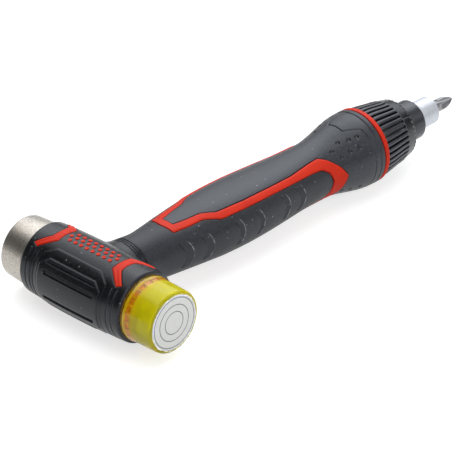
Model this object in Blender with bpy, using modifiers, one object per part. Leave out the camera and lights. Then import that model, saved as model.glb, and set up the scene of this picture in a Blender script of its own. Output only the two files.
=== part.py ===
"""Two-faced hammer with a ratchet screwdriver in the end of its handle.

Lengths are metres and angles are degrees. The head lies along X and the handle along Y. Both axes
cross at the origin of the tool frame, an empty that lifts the tool onto the ground, lying on its side.
"""
import math

import bmesh
import bpy

# Fits
GAP = 0.0003
OVERLAP = 0.0004

# Roundness of turned pieces, in facets
LARGE_ROUND = 34
MEDIUM_ROUND = 24
SMALL_ROUND = 20
PIN_ROUND = 12

# Head
HEAD_HALF_LENGTH = 0.0300
COVER_CROWN_RADIUS = 0.0172
COVER_END_DROP = 0.0009
COVER_EDGE_RADIUS = 0.0007
COVER_BORE_RADIUS = 0.0146
RED_LAYER_WALL = 0.0008
HEAD_CORE_RADIUS = COVER_BORE_RADIUS - 2 * GAP - RED_LAYER_WALL
STUD_RADIUS = 0.0050
STUD_LENGTH = 0.0120
STEEL_FACE_RADIUS = 0.0142
STEEL_FACE_FLARE = 0.0008
STEEL_FACE_LENGTH = 0.0137
STEEL_EDGE_RADIUS = 0.0010
SOFT_FACE_RADIUS = 0.0146
SOFT_FACE_LENGTH = 0.0172
SOFT_FACE_TAPER = 0.0003
SOFT_EDGE_RADIUS = 0.0018
SOFT_FLANGE_RISE = 0.0003
SOFT_FLANGE_WIDTH = 0.0018
INSERT_RADIUS = 0.0122
INSERT_WIDTH = 0.0055
INSERT_NOTCHES = 22
INSERT_NOTCH_DEPTH = 0.0010
LABEL_RADIUS = 0.0126
LABEL_THICKNESS = 0.0003

# Raised pads on the free end of the head cover: half length and angle from the end, row by row
OUTER_PAD_ROWS = ((0.0132, 60), (0.0191, 46), (0.0201, 36))
OUTER_PAD_RISE = 0.0002
INNER_PAD_ROWS = ((0.0139, 43), (0.0186, 31), (0.0186, 15))
INNER_PAD_RISE = 0.0006
PAD_BEVEL = 0.0004
PAD_ROOT = 0.0015
SLOT_LENGTH = 0.0290
SLOT_WIDTH = 0.0015
SLOT_DEPTH = 0.0012
SLOT_ANGLE = 20
LINE_WIDTH = 0.0008
LINE_DEPTH = 0.0006
LINE_ANGLE = 35.5

# Red brackets of the head: (inner x, inner angle, outer x, outer angle) from tip to middle
BRACKET_STATIONS = (
    (0.0240, 41.0, 0.0265, 36.5),
    (0.0165, 18.5, 0.0208, 14.5),
    (0.0166, 0.0, 0.0205, 0.0),
)
BRACKET_STEPS = 2

# Neck boss of the head cover: distance along the handle and radius
NECK_BACK = 0.0203
BOSS_ROOT = 0.0100
BOSS_ROOT_RADIUS = 0.0148
BOSS_WAIST = 0.0160
BOSS_WAIST_RADIUS = 0.0133

# Handle loft: distance along the handle, half width, half height and squareness of the section
HANDLE_STATIONS = (
    (NECK_BACK, 0.0123, 0.0121, 2.00),
    (0.0280, 0.0117, 0.0115, 2.05),
    (0.0360, 0.0124, 0.0116, 2.20),
    (0.0440, 0.0136, 0.0118, 2.30),
    (0.0560, 0.0150, 0.0126, 2.30),
    (0.0660, 0.0160, 0.0132, 2.30),
    (0.0800, 0.0164, 0.0134, 2.30),
    (0.0920, 0.0160, 0.0132, 2.30),
    (0.1040, 0.0151, 0.0128, 2.30),
    (0.1160, 0.0142, 0.0126, 2.20),
    (0.1260, 0.0137, 0.0128, 2.10),
    (0.1320, 0.0135, 0.0133, 2.00),
    (0.1380, 0.0142, 0.0141, 2.00),
    (0.1440, 0.0154, 0.0154, 2.00),
    (0.1500, 0.0167, 0.0167, 2.00),
    (0.1550, 0.0175, 0.0175, 2.00),
    (0.1613, 0.0178, 0.0178, 2.00),
)
BULGE_FRONT = HANDLE_STATIONS[-1][0]

# Red frame of the handle, a quarter turn from the top line to the side line:
# grip edge (distance along the handle, angle from the top), then panel edge (distance, angle)
FRAME_STATIONS = (
    (0.0369, 0.0, 0.0441, 0.0),
    (0.0397, 34.2, 0.0441, 17.4),
    (0.0480, 38.4, 0.0500, 22.5),
    (0.0557, 39.4, 0.0569, 26.0),
    (0.0638, 53.9, 0.0633, 39.3),
    (0.0780, 55.8, 0.0780, 43.0),
    (0.0950, 56.4, 0.0950, 43.6),
    (0.1100, 57.0, 0.1090, 43.2),
    (0.1215, 57.2, 0.1220, 36.8),
    (0.1265, 59.2, 0.1275, 35.5),
    (0.1302, 70.0, 0.1315, 46.5),
    (0.1317, 81.5, 0.1368, 69.0),
    (0.1320, 90.0, 0.1404, 90.0),
)
FRONT_STEPS = 2
UNDER_SHARE = 0.66
HOOK_RING = 0.1415
HOOK_COLUMN = 9
HOOK_ANGLE = 28
NECK_COLUMN = 2
NECK_ANGLE = 39
GRIP_ROWS = 6
SUNK_ROWS = 2
PANEL_ROWS = 5
BULGE_ROWS = 4
GRIP_WALL = 0.0022

# Shaft
SHAFT_RADIUS = 0.0040
SHAFT_BACK = -0.0077
SHAFT_FRONT = 0.1277
PIN_RADIUS = 0.0015
PIN_LENGTH = 0.0200

# Ratchet
RED_RING_WIDTH = 0.0023
RED_RING_RADIUS = 0.0177
HOUSING_WALL = 0.0034
HOUSING_FLANGE_HEIGHT = 0.0025
HOUSING_FLANGE_WIDTH = 0.0053
HOUSING_NOSE_LENGTH = 0.0201
SPINDLE_RADIUS = 0.0050
SPINDLE_TAIL = 0.0023
GEAR_TEETH = 24
GEAR_TIP_RADIUS = 0.0070
GEAR_TOOTH_DEPTH = 0.0008
GEAR_WIDTH = 0.0083
PAWL_WINDOW_ANGLE = 104
PAWL_PIVOT_HEIGHT = 0.0032
PAWL_PIVOT_ANGLE = 56.1
PAWL_BOSS_RADIUS = 0.0018
PAWL_NOSE = (0.0035, -0.0037)
PAWL_TAIL = (-0.0048, -0.0002)
PAWL_ARM = 0.0012
PAWL_PIN_RADIUS = 0.0008
PAWL_PIN_DEPTH = 0.0020
SPRING_THICKNESS = 0.0004
SPRING_WIDTH = 0.0030
SPRING_OPENING = 50
CLIP_WIDTH = 0.0010
CLIP_RADIUS = 0.0068
CLIP_GROOVE_DEPTH = 0.0008
CLIP_OPENING = 60

# Selector ring
SELECTOR_RIBS = 38
SELECTOR_BACK_RADIUS = 0.0170
SELECTOR_RIB_END = 0.0155
SELECTOR_RIB_END_RADIUS = 0.0151
SELECTOR_RIB_DEPTH = 0.0010
SELECTOR_SHOULDER_RADIUS = 0.0148
SELECTOR_LENGTH = 0.0220
SELECTOR_FRONT_RADIUS = 0.0135
SELECTOR_FRONT_DROP = 0.0008
SELECTOR_LIP = 0.0016
SELECTOR_TAB_WIDTH = 0.0024
SELECTOR_TAB_THICKNESS = 0.0010
SELECTOR_TAB_RISE = 0.0001
SELECTOR_TAB_LENGTH = 0.0115
SELECTOR_TRAVEL = 20
SNAP_RING_PLACE = 0.0118
SNAP_RING_WIDTH = 0.0006
SNAP_RING_DEPTH = 0.0011
DETENT_PLACE = 0.0065
DETENT_BALL_RADIUS = 0.0012
DETENT_BALL_RISE = 0.00045
DETENT_TRACK_DEPTH = 0.0005
DETENT_SPRING_RADIUS = 0.0009
DETENT_WIRE_RADIUS = 0.0002
DETENT_SPRING_LENGTH = 0.0018
DETENT_SPRING_TURNS = 3

# Nose, bit holder and bit
NOSE_RADIUS = 0.0094
NOSE_LENGTH = 0.0125
NOSE_EDGE_RADIUS = 0.0010
NOSE_SPIGOT_RADIUS = 0.0072
NOSE_SPIGOT_LENGTH = 0.0070
SLEEVE_RADIUS = 0.0065
SLEEVE_LENGTH = 0.01205
SLEEVE_CHAMFER = 0.0006
BIT_FLAT = 0.00635
BIT_LENGTH = 0.0250
BIT_SOCKET_DEPTH = 0.0106
BIT_NECK_RADIUS = 0.00295
BIT_FLUTE_START = 0.0172
BIT_FLUTE_SHARE = 0.5
BIT_TAPER_LENGTH = 0.0042
BIT_TIP_RADIUS = 0.0010
MAGNET_RADIUS = 0.0022
MAGNET_LENGTH = 0.0040

# Sizes and places that follow from the sizes above
GEAR_ROOT_RADIUS = GEAR_TIP_RADIUS - GEAR_TOOTH_DEPTH
PAWL_PIVOT_RADIUS = GEAR_TIP_RADIUS + PAWL_PIVOT_HEIGHT
SPRING_RADIUS = PAWL_PIVOT_RADIUS + PAWL_BOSS_RADIUS + GAP + SPRING_THICKNESS
HOUSING_RADIUS = SPRING_RADIUS + GAP
HOUSING_NOSE_RADIUS = HOUSING_RADIUS - HOUSING_FLANGE_HEIGHT
RED_RING_BACK = BULGE_FRONT + GAP
HOUSING_FLANGE_FRONT = RED_RING_BACK + RED_RING_WIDTH
SELECTOR_BACK = HOUSING_FLANGE_FRONT + GAP
HOUSING_FRONT = HOUSING_FLANGE_FRONT + HOUSING_NOSE_LENGTH
WINDOW_FRONT = HOUSING_FLANGE_FRONT - HOUSING_FLANGE_WIDTH
GEAR_FRONT = WINDOW_FRONT - GAP
GEAR_BACK = GEAR_FRONT - GEAR_WIDTH
HOUSING_BACK = GEAR_BACK - GAP - HOUSING_WALL
NOSE_BACK = HOUSING_FRONT + GAP
NOSE_FRONT = NOSE_BACK + NOSE_LENGTH
SLEEVE_BACK = NOSE_FRONT + GAP
SLEEVE_FRONT = SLEEVE_BACK + SLEEVE_LENGTH
BIT_BACK = SLEEVE_FRONT - BIT_SOCKET_DEPTH + GAP
BIT_TIP = BIT_BACK + BIT_LENGTH
STEEL_FRONT = -HEAD_HALF_LENGTH - GAP - STEEL_FACE_LENGTH
SOFT_FRONT = HEAD_HALF_LENGTH + GAP + SOFT_FACE_LENGTH
HEAD_OUTER_RADIUS = COVER_CROWN_RADIUS + INNER_PAD_RISE
TOOL_REACH = max(HANDLE_STATIONS[-1][2], RED_RING_RADIUS, HEAD_OUTER_RADIUS)

for old in list(bpy.data.objects):
    bpy.data.objects.remove(old, do_unlink=True)

parts = bpy.data.collections.new("hammer_screwdriver")
cutters = bpy.data.collections.new("cutters")
for collection in (parts, cutters):
    bpy.context.scene.collection.children.link(collection)

tool_frame = bpy.data.objects.new("tool_frame", None)
tool_frame.location = (
    -(STEEL_FRONT + SOFT_FRONT) / 2,
    -(BIT_TIP - HEAD_OUTER_RADIUS) / 2,
    TOOL_REACH,
)
parts.objects.link(tool_frame)


def material(name, colour, roughness, metallic=0.0, transmission=0.0):
    """One plain surface: base colour, roughness and whether it is metal or clear."""
    made = bpy.data.materials.new(name)
    made.use_nodes = True
    shader = made.node_tree.nodes["Principled BSDF"]
    shader.inputs["Base Color"].default_value = (*colour, 1.0)
    shader.inputs["Roughness"].default_value = roughness
    shader.inputs["Metallic"].default_value = metallic
    shader.inputs["Transmission Weight"].default_value = transmission
    return made


BRIGHT_STEEL = material("satin_steel", (0.55, 0.53, 0.50), 0.32, metallic=1.0)
DARK_STEEL = material("hardened_steel", (0.28, 0.28, 0.28), 0.42, metallic=1.0)
SPRING_STEEL = material("spring_steel", (0.40, 0.40, 0.42), 0.35, metallic=1.0)
CHROMED_STEEL = material("chromed_steel", (0.70, 0.71, 0.73), 0.22, metallic=1.0)
CAST_ZINC = material("cast_zinc", (0.36, 0.36, 0.37), 0.50, metallic=1.0)
BLACK_RUBBER = material("black_soft_plastic", (0.020, 0.021, 0.024), 0.62)
BLACK_PLASTIC = material("black_hard_plastic", (0.018, 0.018, 0.020), 0.45)
GREY_PLASTIC = material("dark_grey_plastic", (0.045, 0.047, 0.055), 0.50)
RED_PLASTIC = material("red_plastic", (0.60, 0.035, 0.020), 0.42)
YELLOW_PLASTIC = material("clear_yellow_plastic", (0.80, 0.72, 0.02), 0.12, transmission=0.7)
AMBER_PLASTIC = material("amber_plastic", (0.55, 0.22, 0.01), 0.30)
WHITE_PAPER = material("white_paper", (0.80, 0.80, 0.78), 0.55)


def add_object(name, mesh, finish=None):
    """A part in the tool frame when it has a finish, and a hidden cutter when it has none."""
    made = bpy.data.objects.new(name, mesh)
    made.parent = tool_frame
    if finish is None:
        cutters.objects.link(made)
        made.hide_render = True
        made.display_type = "WIRE"
    else:
        parts.objects.link(made)
        mesh.materials.append(finish)
    return made


def mesh_from(name, points, faces):
    """A closed mesh with its faces turned outwards and soft shading over shallow edges."""
    mesh = bpy.data.meshes.new(name)
    mesh.from_pydata(points, [], faces)
    shape = bmesh.new()
    shape.from_mesh(mesh)
    bmesh.ops.recalc_face_normals(shape, faces=shape.faces)
    shape.to_mesh(mesh)
    shape.free()
    mesh.shade_smooth()
    mesh.set_sharp_from_angle(angle=math.radians(35))
    return mesh


def split_quad(points, quad):
    """Two triangles along the shorter diagonal, so that nested skins fold alike."""
    a, b, c, d = quad
    if math.dist(points[a], points[c]) <= math.dist(points[b], points[d]):
        return [(a, b, c), (a, c, d)]
    return [(b, c, d), (b, d, a)]


def loft(name, rings, finish=None, closed=False):
    """Skin between rings of equal count, closed on itself or capped at both ends."""
    count = len(rings[0])
    points = [point for ring in rings for point in ring]
    faces = []
    for row in range(len(rings) if closed else len(rings) - 1):
        here = row * count
        there = (row + 1) % len(rings) * count
        for column in range(count):
            after = (column + 1) % count
            faces += split_quad(points, (here + column, here + after, there + after, there + column))
    if not closed:
        faces.append(tuple(range(count)))
        faces.append(tuple(range(len(points) - count, len(points))))
    return add_object(name, mesh_from(name, points, faces), finish)


def turned(name, profile, axis, facets, finish=None, ring=False, place=0.0):
    """A turned piece: (distance, radius) pairs down its outer side, then back up a bore if a ring."""
    points = [(radius, 0.0, distance - place) for distance, radius in profile]
    edges = [(index, index + 1) for index in range(len(points) - 1)]
    if ring:
        edges.append((len(points) - 1, 0))
    mesh = bpy.data.meshes.new(name)
    mesh.from_pydata(points, edges, [])
    made = add_object(name, mesh, finish)
    if axis == "X":
        made.rotation_euler = (0.0, math.radians(90), 0.0)
        made.location = (place, 0.0, 0.0)
    else:
        made.rotation_euler = (math.radians(-90), 0.0, 0.0)
        made.location = (0.0, place, 0.0)
    screw = made.modifiers.new("turn", "SCREW")
    screw.steps = facets
    screw.render_steps = facets
    screw.use_merge_vertices = True
    screw.merge_threshold = 0.00001
    return made


def rod(front, back, radius):
    """Profile of a plain solid rod, down its outer side."""
    return [(front, 0.0), (front, radius), (back, radius), (back, 0.0)]


def tube(front, back, outer, inner):
    """Profile of a plain tube, down its outer side and up its bore."""
    return [(front, outer), (back, outer), (back, inner), (front, inner)]


def outline_solid(name, outlines, back, front, finish=None):
    """A flat outline in X and Z, with holes as further outlines, filled from back to front along Y."""
    curve = bpy.data.curves.new(name, "CURVE")
    curve.dimensions = "2D"
    curve.fill_mode = "BOTH"
    curve.extrude = (front - back) / 2
    for outline in outlines:
        spline = curve.splines.new("POLY")
        spline.points.add(len(outline) - 1)
        for point, (x, z) in zip(spline.points, outline):
            point.co = (x, -z, 0.0, 1.0)
        spline.use_cyclic_u = True
    flat = bpy.data.objects.new(name, curve)
    cutters.objects.link(flat)
    bpy.context.view_layer.update()
    evaluated = flat.evaluated_get(bpy.context.evaluated_depsgraph_get())
    mesh = bpy.data.meshes.new_from_object(evaluated)
    bpy.data.objects.remove(flat, do_unlink=True)
    shape = bmesh.new()
    shape.from_mesh(mesh)
    bmesh.ops.remove_doubles(shape, verts=shape.verts, dist=0.000001)
    bmesh.ops.recalc_face_normals(shape, faces=shape.faces)
    shape.to_mesh(mesh)
    shape.free()
    mesh.name = name
    made = add_object(name, mesh, finish)
    made.rotation_euler = (math.radians(-90), 0.0, 0.0)
    made.location = (0.0, (back + front) / 2, 0.0)
    return made


def block(name, size, centre, finish=None):
    """A box of the given size."""
    shape = bmesh.new()
    bmesh.ops.create_cube(shape, size=1.0)
    bmesh.ops.scale(shape, vec=size, verts=shape.verts)
    mesh = bpy.data.meshes.new(name)
    shape.to_mesh(mesh)
    shape.free()
    made = add_object(name, mesh, finish)
    made.location = centre
    return made


def combine(target, tool, operation="DIFFERENCE"):
    """Cut the tool out of the target, or join it on."""
    step = target.modifiers.new(tool.name, "BOOLEAN")
    step.operation = operation
    step.object = tool
    step.solver = "EXACT"


def arc(centre, radius, start, end, steps):
    """Points of an arc in a flat plane, end points included."""
    points = []
    for step in range(steps + 1):
        turn = math.radians(start + (end - start) * step / steps)
        points.append((centre[0] + radius * math.cos(turn), centre[1] + radius * math.sin(turn)))
    return points


def circle(centre, radius, facets):
    """Points of a full circle in a flat plane."""
    return arc(centre, radius, 0, 360 - 360 / facets, facets - 1)


# Head surfaces
def cover_radius(x):
    """Radius of the barrel-shaped head cover."""
    return COVER_CROWN_RADIUS - COVER_END_DROP * (x / HEAD_HALF_LENGTH) ** 2


def end_pad(name, rows, rise):
    """A curved plate on the free end of the head, from rows of half length and angle."""
    turns = [(half, angle) for half, angle in rows]
    turns += [(rows[-1][0], 0)]
    turns += [(half, -angle) for half, angle in reversed(rows)]
    rings = []
    for half, angle in turns:
        ring = []
        for x, lift in ((-half + PAD_BEVEL, rise), (0.0, rise), (half - PAD_BEVEL, rise),
                        (half, -PAD_ROOT), (0.0, -PAD_ROOT), (-half, -PAD_ROOT)):
            radius = cover_radius(x) + lift
            turn = math.radians(angle)
            ring.append((x, -radius * math.cos(turn), radius * math.sin(turn)))
        rings.append(ring)
    return loft(name, rings)


def bracket(name, end, side, foot, rise, grow):
    """One red bracket: end is the sign of x, side the sign of z; grow widens it all round."""
    half = []
    for first, second in zip(BRACKET_STATIONS, BRACKET_STATIONS[1:]):
        for step in range(BRACKET_STEPS):
            share = step / BRACKET_STEPS
            half.append([a + (b - a) * share for a, b in zip(first, second)])
    half.append(list(BRACKET_STATIONS[-1]))
    turns = half + [[a, -b, c, -d] for a, b, c, d in reversed(half[:-1])]
    spread = math.degrees(grow / COVER_CROWN_RADIUS)
    for index, sign in ((0, 1), (-1, -1)):
        turns[index][1] += sign * spread
        turns[index][3] += sign * spread
    rings = []
    for inner, inner_angle, outer, outer_angle in turns:
        ring = []
        for x, angle, lift in ((inner - grow, inner_angle, True), (outer + grow, outer_angle, True),
                               (outer + grow, outer_angle, False), (inner - grow, inner_angle, False)):
            radius = cover_radius(x) + rise if lift else foot
            turn = math.radians(angle)
            ring.append((end * x, -radius * math.sin(turn), side * radius * math.cos(turn)))
        rings.append(ring)
    return loft(name, rings)


# Handle surfaces
def station_value(distance, column):
    """Smooth value between the handle's stations, with slopes taken from their neighbours."""
    last = len(HANDLE_STATIONS) - 1
    low = 0
    while low < last - 1 and distance > HANDLE_STATIONS[low + 1][0]:
        low += 1

    def slope(index):
        before = HANDLE_STATIONS[max(index - 1, 0)]
        after = HANDLE_STATIONS[min(index + 1, last)]
        return (after[column] - before[column]) / (after[0] - before[0])

    start, end = HANDLE_STATIONS[low], HANDLE_STATIONS[low + 1]
    span = end[0] - start[0]
    share = min(max((distance - start[0]) / span, 0.0), 1.0)
    rest = 1.0 - share
    return (start[column] * (1 + 2 * share) * rest ** 2
            + end[column] * (3 - 2 * share) * share ** 2
            + span * share * rest * (slope(low) * rest - slope(low + 1) * share))


def handle_point(distance, angle, inset):
    """Point of the oval handle at an angle from its top line, sunk below the surface by the inset."""
    width = station_value(distance, 1) - inset
    height = station_value(distance, 2) - inset
    power = station_value(distance, 3)
    turn = math.radians(angle)
    across, up = math.sin(turn), math.cos(turn)
    radius = ((abs(across) / width) ** power + (abs(up) / height) ** power) ** (-1 / power)
    return (radius * across, distance, radius * up)


def round_point(distance, angle, radius):
    """Point of a plain bore at an angle from the top line."""
    turn = math.radians(angle)
    return (radius * math.sin(turn), distance, radius * math.cos(turn))


def under_angle(angle):
    """Angle from the bottom line that answers to an angle from the top line: the underside is drawn in."""
    return angle * (UNDER_SHARE + (1 - UNDER_SHARE) * (angle / 90) ** 4)


def full_turn(quarter):
    """Mirror a quarter turn of (distance, angle) pairs right round the handle."""
    under = [(distance, under_angle(angle)) for distance, angle in quarter]
    turn = [(distance, angle) for distance, angle in quarter[:-1]]
    turn += [(distance, 180 - angle) for distance, angle in under[:0:-1]]
    turn += [(distance, 180 + angle) for distance, angle in under[:-1]]
    turn += [(distance, 360 - angle) for distance, angle in quarter[:0:-1]]
    return turn


def frame_quarter():
    """Stations of the red frame, with the V at the front split into short steps."""
    first, second = FRAME_STATIONS[:2]
    quarter = []
    for step in range(FRONT_STEPS):
        share = step / FRONT_STEPS
        quarter.append(tuple(a + (b - a) * share for a, b in zip(first, second)))
    return quarter + list(FRAME_STATIONS[1:])


def moved_edges(grip_move, panel_move):
    """Grip edge and panel edge of the red frame, each moved away from the band by a distance."""
    grip, panel = [], []
    for grip_y, grip_angle, panel_y, panel_angle in frame_quarter():
        radius = (station_value(grip_y, 1) + station_value(grip_y, 2)) / 2
        along = grip_y - panel_y
        across = radius * math.radians(grip_angle - panel_angle)
        length = math.hypot(along, across)
        turn = math.degrees(across / length / radius)
        grip.append((grip_y + grip_move * along / length, grip_angle + grip_move * turn))
        panel.append((panel_y - panel_move * along / length, panel_angle - panel_move * turn))
    return full_turn(grip), full_turn(panel)


def spread_angles(distance, column, angle):
    """A ring of columns that reaches the given angle at the given column of each quarter."""
    last = len(frame_quarter()) - 1
    quarter = []
    for index in range(last + 1):
        if index <= column:
            quarter.append((distance, angle * index / column))
        else:
            quarter.append((distance, angle + (90 - angle) * (index - column) / (last - column)))
    return full_turn(quarter)


def between(start, end, share):
    """Ring of (distance, angle) pairs part of the way from one ring to another."""
    return [(a[0] + (b[0] - a[0]) * share, a[1] + (b[1] - a[1]) * share) for a, b in zip(start, end)]


def surface_ring(ring, inset):
    """The ring's points on the handle's surface, or below it."""
    return [handle_point(distance, angle, inset) for distance, angle in ring]


def bore_ring(ring, distance, radius):
    """The ring's angles on a plain bore."""
    return [round_point(distance, angle, radius) for _, angle in ring]


# Head pieces
def make_head_core():
    """Metal body of the head, with a stud socket in each end."""
    half = HEAD_HALF_LENGTH
    core = turned("head_core", rod(half, -half, HEAD_CORE_RADIUS), "X", MEDIUM_ROUND, CAST_ZINC)
    depth = STUD_LENGTH + GAP
    for sign, label in ((1, "soft"), (-1, "steel")):
        ends = sorted((sign * (half - depth), sign * (half + depth)), reverse=True)
        socket = turned("socket_" + label, rod(*ends, STUD_RADIUS + GAP), "X", SMALL_ROUND)
        combine(core, socket)
    combine(core, shaft_bore())
    hole = PIN_RADIUS + GAP
    reach = PIN_LENGTH / 2 + GAP
    combine(core, upright_rod("pin_hole", hole, reach))
    return core


def upright_rod(name, radius, half_length, finish=None):
    """A plain rod along Z through the crossing of the axes."""
    shape = bmesh.new()
    bmesh.ops.create_cone(shape, cap_ends=True, segments=PIN_ROUND, radius1=radius, radius2=radius,
                          depth=2 * half_length)
    mesh = bpy.data.meshes.new(name)
    shape.to_mesh(mesh)
    shape.free()
    mesh.shade_smooth()
    mesh.set_sharp_from_angle(angle=math.radians(35))
    return add_object(name, mesh, finish)


def shaft_bore():
    """Cutter for the shaft, from inside the head core out through the neck."""
    if "shaft_bore" in bpy.data.objects:
        return bpy.data.objects["shaft_bore"]
    return turned("shaft_bore", rod(NECK_BACK + GAP, SHAFT_BACK - GAP, SHAFT_RADIUS + GAP), "Y", SMALL_ROUND)


def make_head_red_layer():
    """Red under-layer of the head, with the brackets that come up through the cover."""
    half = HEAD_HALF_LENGTH
    inner = HEAD_CORE_RADIUS + GAP
    outer = inner + RED_LAYER_WALL
    wall = tube(half, -half, outer, inner)
    layer = turned("head_red_layer", wall, "X", MEDIUM_ROUND, RED_PLASTIC, ring=True)
    for end in (1, -1):
        for side in (1, -1):
            name = "bracket_%s%s" % ("p" if end > 0 else "m", "p" if side > 0 else "m")
            combine(layer, bracket(name, end, side, outer - OVERLAP, 0.0, 0.0), "UNION")
    combine(layer, shaft_bore())
    return layer


def make_head_cover():
    """Black cover of the head with its neck boss, raised pads, slots and bracket windows."""
    half = HEAD_HALF_LENGTH
    rows = 4
    edge = COVER_EDGE_RADIUS
    end = [(half, 0.0), (half, cover_radius(half) - edge)]
    barrel = []
    for step in range(rows + 1):
        x = (half - edge) * (1 - 2 * step / rows)
        barrel.append((x, cover_radius(x)))
    far_end = [(-x, radius) for x, radius in reversed(end)]
    cover = turned("head_cover", end + barrel + far_end, "X", LARGE_ROUND, BLACK_RUBBER)
    front = NECK_BACK - GAP
    boss = turned("neck_boss", [
        (front, 0.0), (front, HANDLE_STATIONS[0][1]), (BOSS_WAIST, BOSS_WAIST_RADIUS),
        (BOSS_ROOT, BOSS_ROOT_RADIUS), (BOSS_ROOT, 0.0)], "Y", LARGE_ROUND)
    combine(cover, boss, "UNION")
    combine(cover, end_pad("outer_pad", OUTER_PAD_ROWS, OUTER_PAD_RISE), "UNION")
    combine(cover, end_pad("inner_pad", INNER_PAD_ROWS, INNER_PAD_RISE), "UNION")
    reach = half + OVERLAP
    inside = turned("cover_bore", rod(reach, -reach, COVER_BORE_RADIUS), "X", LARGE_ROUND)
    combine(cover, inside)
    combine(cover, shaft_bore())
    for angle, width, depth, length in ((SLOT_ANGLE, SLOT_WIDTH, SLOT_DEPTH, SLOT_LENGTH),
                                        (LINE_ANGLE, LINE_WIDTH, LINE_DEPTH, SLOT_LENGTH)):
        for side in (1, -1):
            turn = math.radians(side * angle)
            radius = HEAD_OUTER_RADIUS
            slot = block("slot_%d_%s" % (angle, "up" if side > 0 else "down"), (length, 2 * depth, width),
                         (0.0, -radius * math.cos(turn), radius * math.sin(turn)))
            slot.rotation_euler = (-turn, 0.0, 0.0)
            combine(cover, slot)
    for end in (1, -1):
        for side in (1, -1):
            name = "window_%s%s" % ("p" if end > 0 else "m", "p" if side > 0 else "m")
            combine(cover, bracket(name, end, side, COVER_BORE_RADIUS - 2 * OVERLAP, 2 * OVERLAP, GAP))
    return cover


def rounded_face(front, radius, edge, sign):
    """Front of a striking face with a rounded rim, as (distance, radius) pairs from the axis out."""
    steps = 3
    points = [(front, 0.0)]
    for step in range(steps + 1):
        turn = math.radians(90 * step / steps)
        points.append((front - sign * edge * (1 - math.cos(turn)), radius - edge + edge * math.sin(turn)))
    return points


def make_steel_face():
    """Turned steel striking face with the stud that screws into the head."""
    back = -HEAD_HALF_LENGTH - GAP
    front = rounded_face(STEEL_FRONT, STEEL_FACE_RADIUS, STEEL_EDGE_RADIUS, -1)
    root = STEEL_FACE_RADIUS + STEEL_FACE_FLARE
    stud = back + STUD_LENGTH
    rear = [(back, root), (back, STUD_RADIUS), (stud, STUD_RADIUS), (stud, 0.0)]
    return turned("steel_face", list(reversed(front + rear)), "X", LARGE_ROUND, BRIGHT_STEEL, place=back)


def make_soft_face():
    """Clear plastic striking face: a cup over the notched insert, with a seat for the label."""
    back = HEAD_HALF_LENGTH + GAP
    flange = back + SOFT_FLANGE_WIDTH
    tip_radius = SOFT_FACE_RADIUS - SOFT_FACE_TAPER
    rim = rounded_face(SOFT_FRONT, tip_radius, SOFT_EDGE_RADIUS, 1)[1:]
    seat = SOFT_FRONT - LABEL_THICKNESS - GAP
    seat_radius = LABEL_RADIUS + GAP / 2
    cup = back + GAP + INSERT_WIDTH + GAP
    cup_radius = INSERT_RADIUS + GAP
    rim[0] = (SOFT_FRONT, seat_radius)
    profile = [(seat, 0.0), (seat, seat_radius)] + rim
    rise = SOFT_FACE_RADIUS + SOFT_FLANGE_RISE
    profile += [(flange + SOFT_FLANGE_RISE, SOFT_FACE_RADIUS), (flange, rise), (back, rise),
                (back, cup_radius), (cup, cup_radius), (cup, 0.0)]
    return turned("soft_face", profile, "X", LARGE_ROUND, YELLOW_PLASTIC, place=back)


def make_soft_face_insert():
    """Notched amber ring with the stud of the soft face."""
    back = HEAD_HALF_LENGTH + GAP
    front = back + GAP + INSERT_WIDTH
    rings = []
    depth = INSERT_NOTCH_DEPTH
    for x, rim, notch in ((back - STUD_LENGTH, STUD_RADIUS, 0.0), (back + GAP, STUD_RADIUS, 0.0),
                          (back + GAP, INSERT_RADIUS, depth), (front, INSERT_RADIUS, depth)):
        ring = []
        for index in range(4 * INSERT_NOTCHES):
            radius = rim - notch * (index % 4 > 1)
            turn = math.radians(360 * index / (4 * INSERT_NOTCHES))
            ring.append((x, radius * math.cos(turn), radius * math.sin(turn)))
        rings.append(ring)
    return loft("soft_face_insert", rings, AMBER_PLASTIC)


def make_face_label():
    """Plain paper disc in the shallow seat of the soft face."""
    back = SOFT_FRONT - LABEL_THICKNESS
    disc = rod(SOFT_FRONT, back, LABEL_RADIUS)
    return turned("face_label", disc, "X", LARGE_ROUND, WHITE_PAPER, place=back)


# Handle pieces
def make_handle_shaft():
    """Steel rod from the head core into the handle, with the hole for its cross pin."""
    shaft = turned("handle_shaft", rod(SHAFT_FRONT, SHAFT_BACK, SHAFT_RADIUS), "Y", SMALL_ROUND, DARK_STEEL)
    combine(shaft, upright_rod("shaft_pin_hole", PIN_RADIUS + GAP, 2 * SHAFT_RADIUS))
    return shaft


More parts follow.
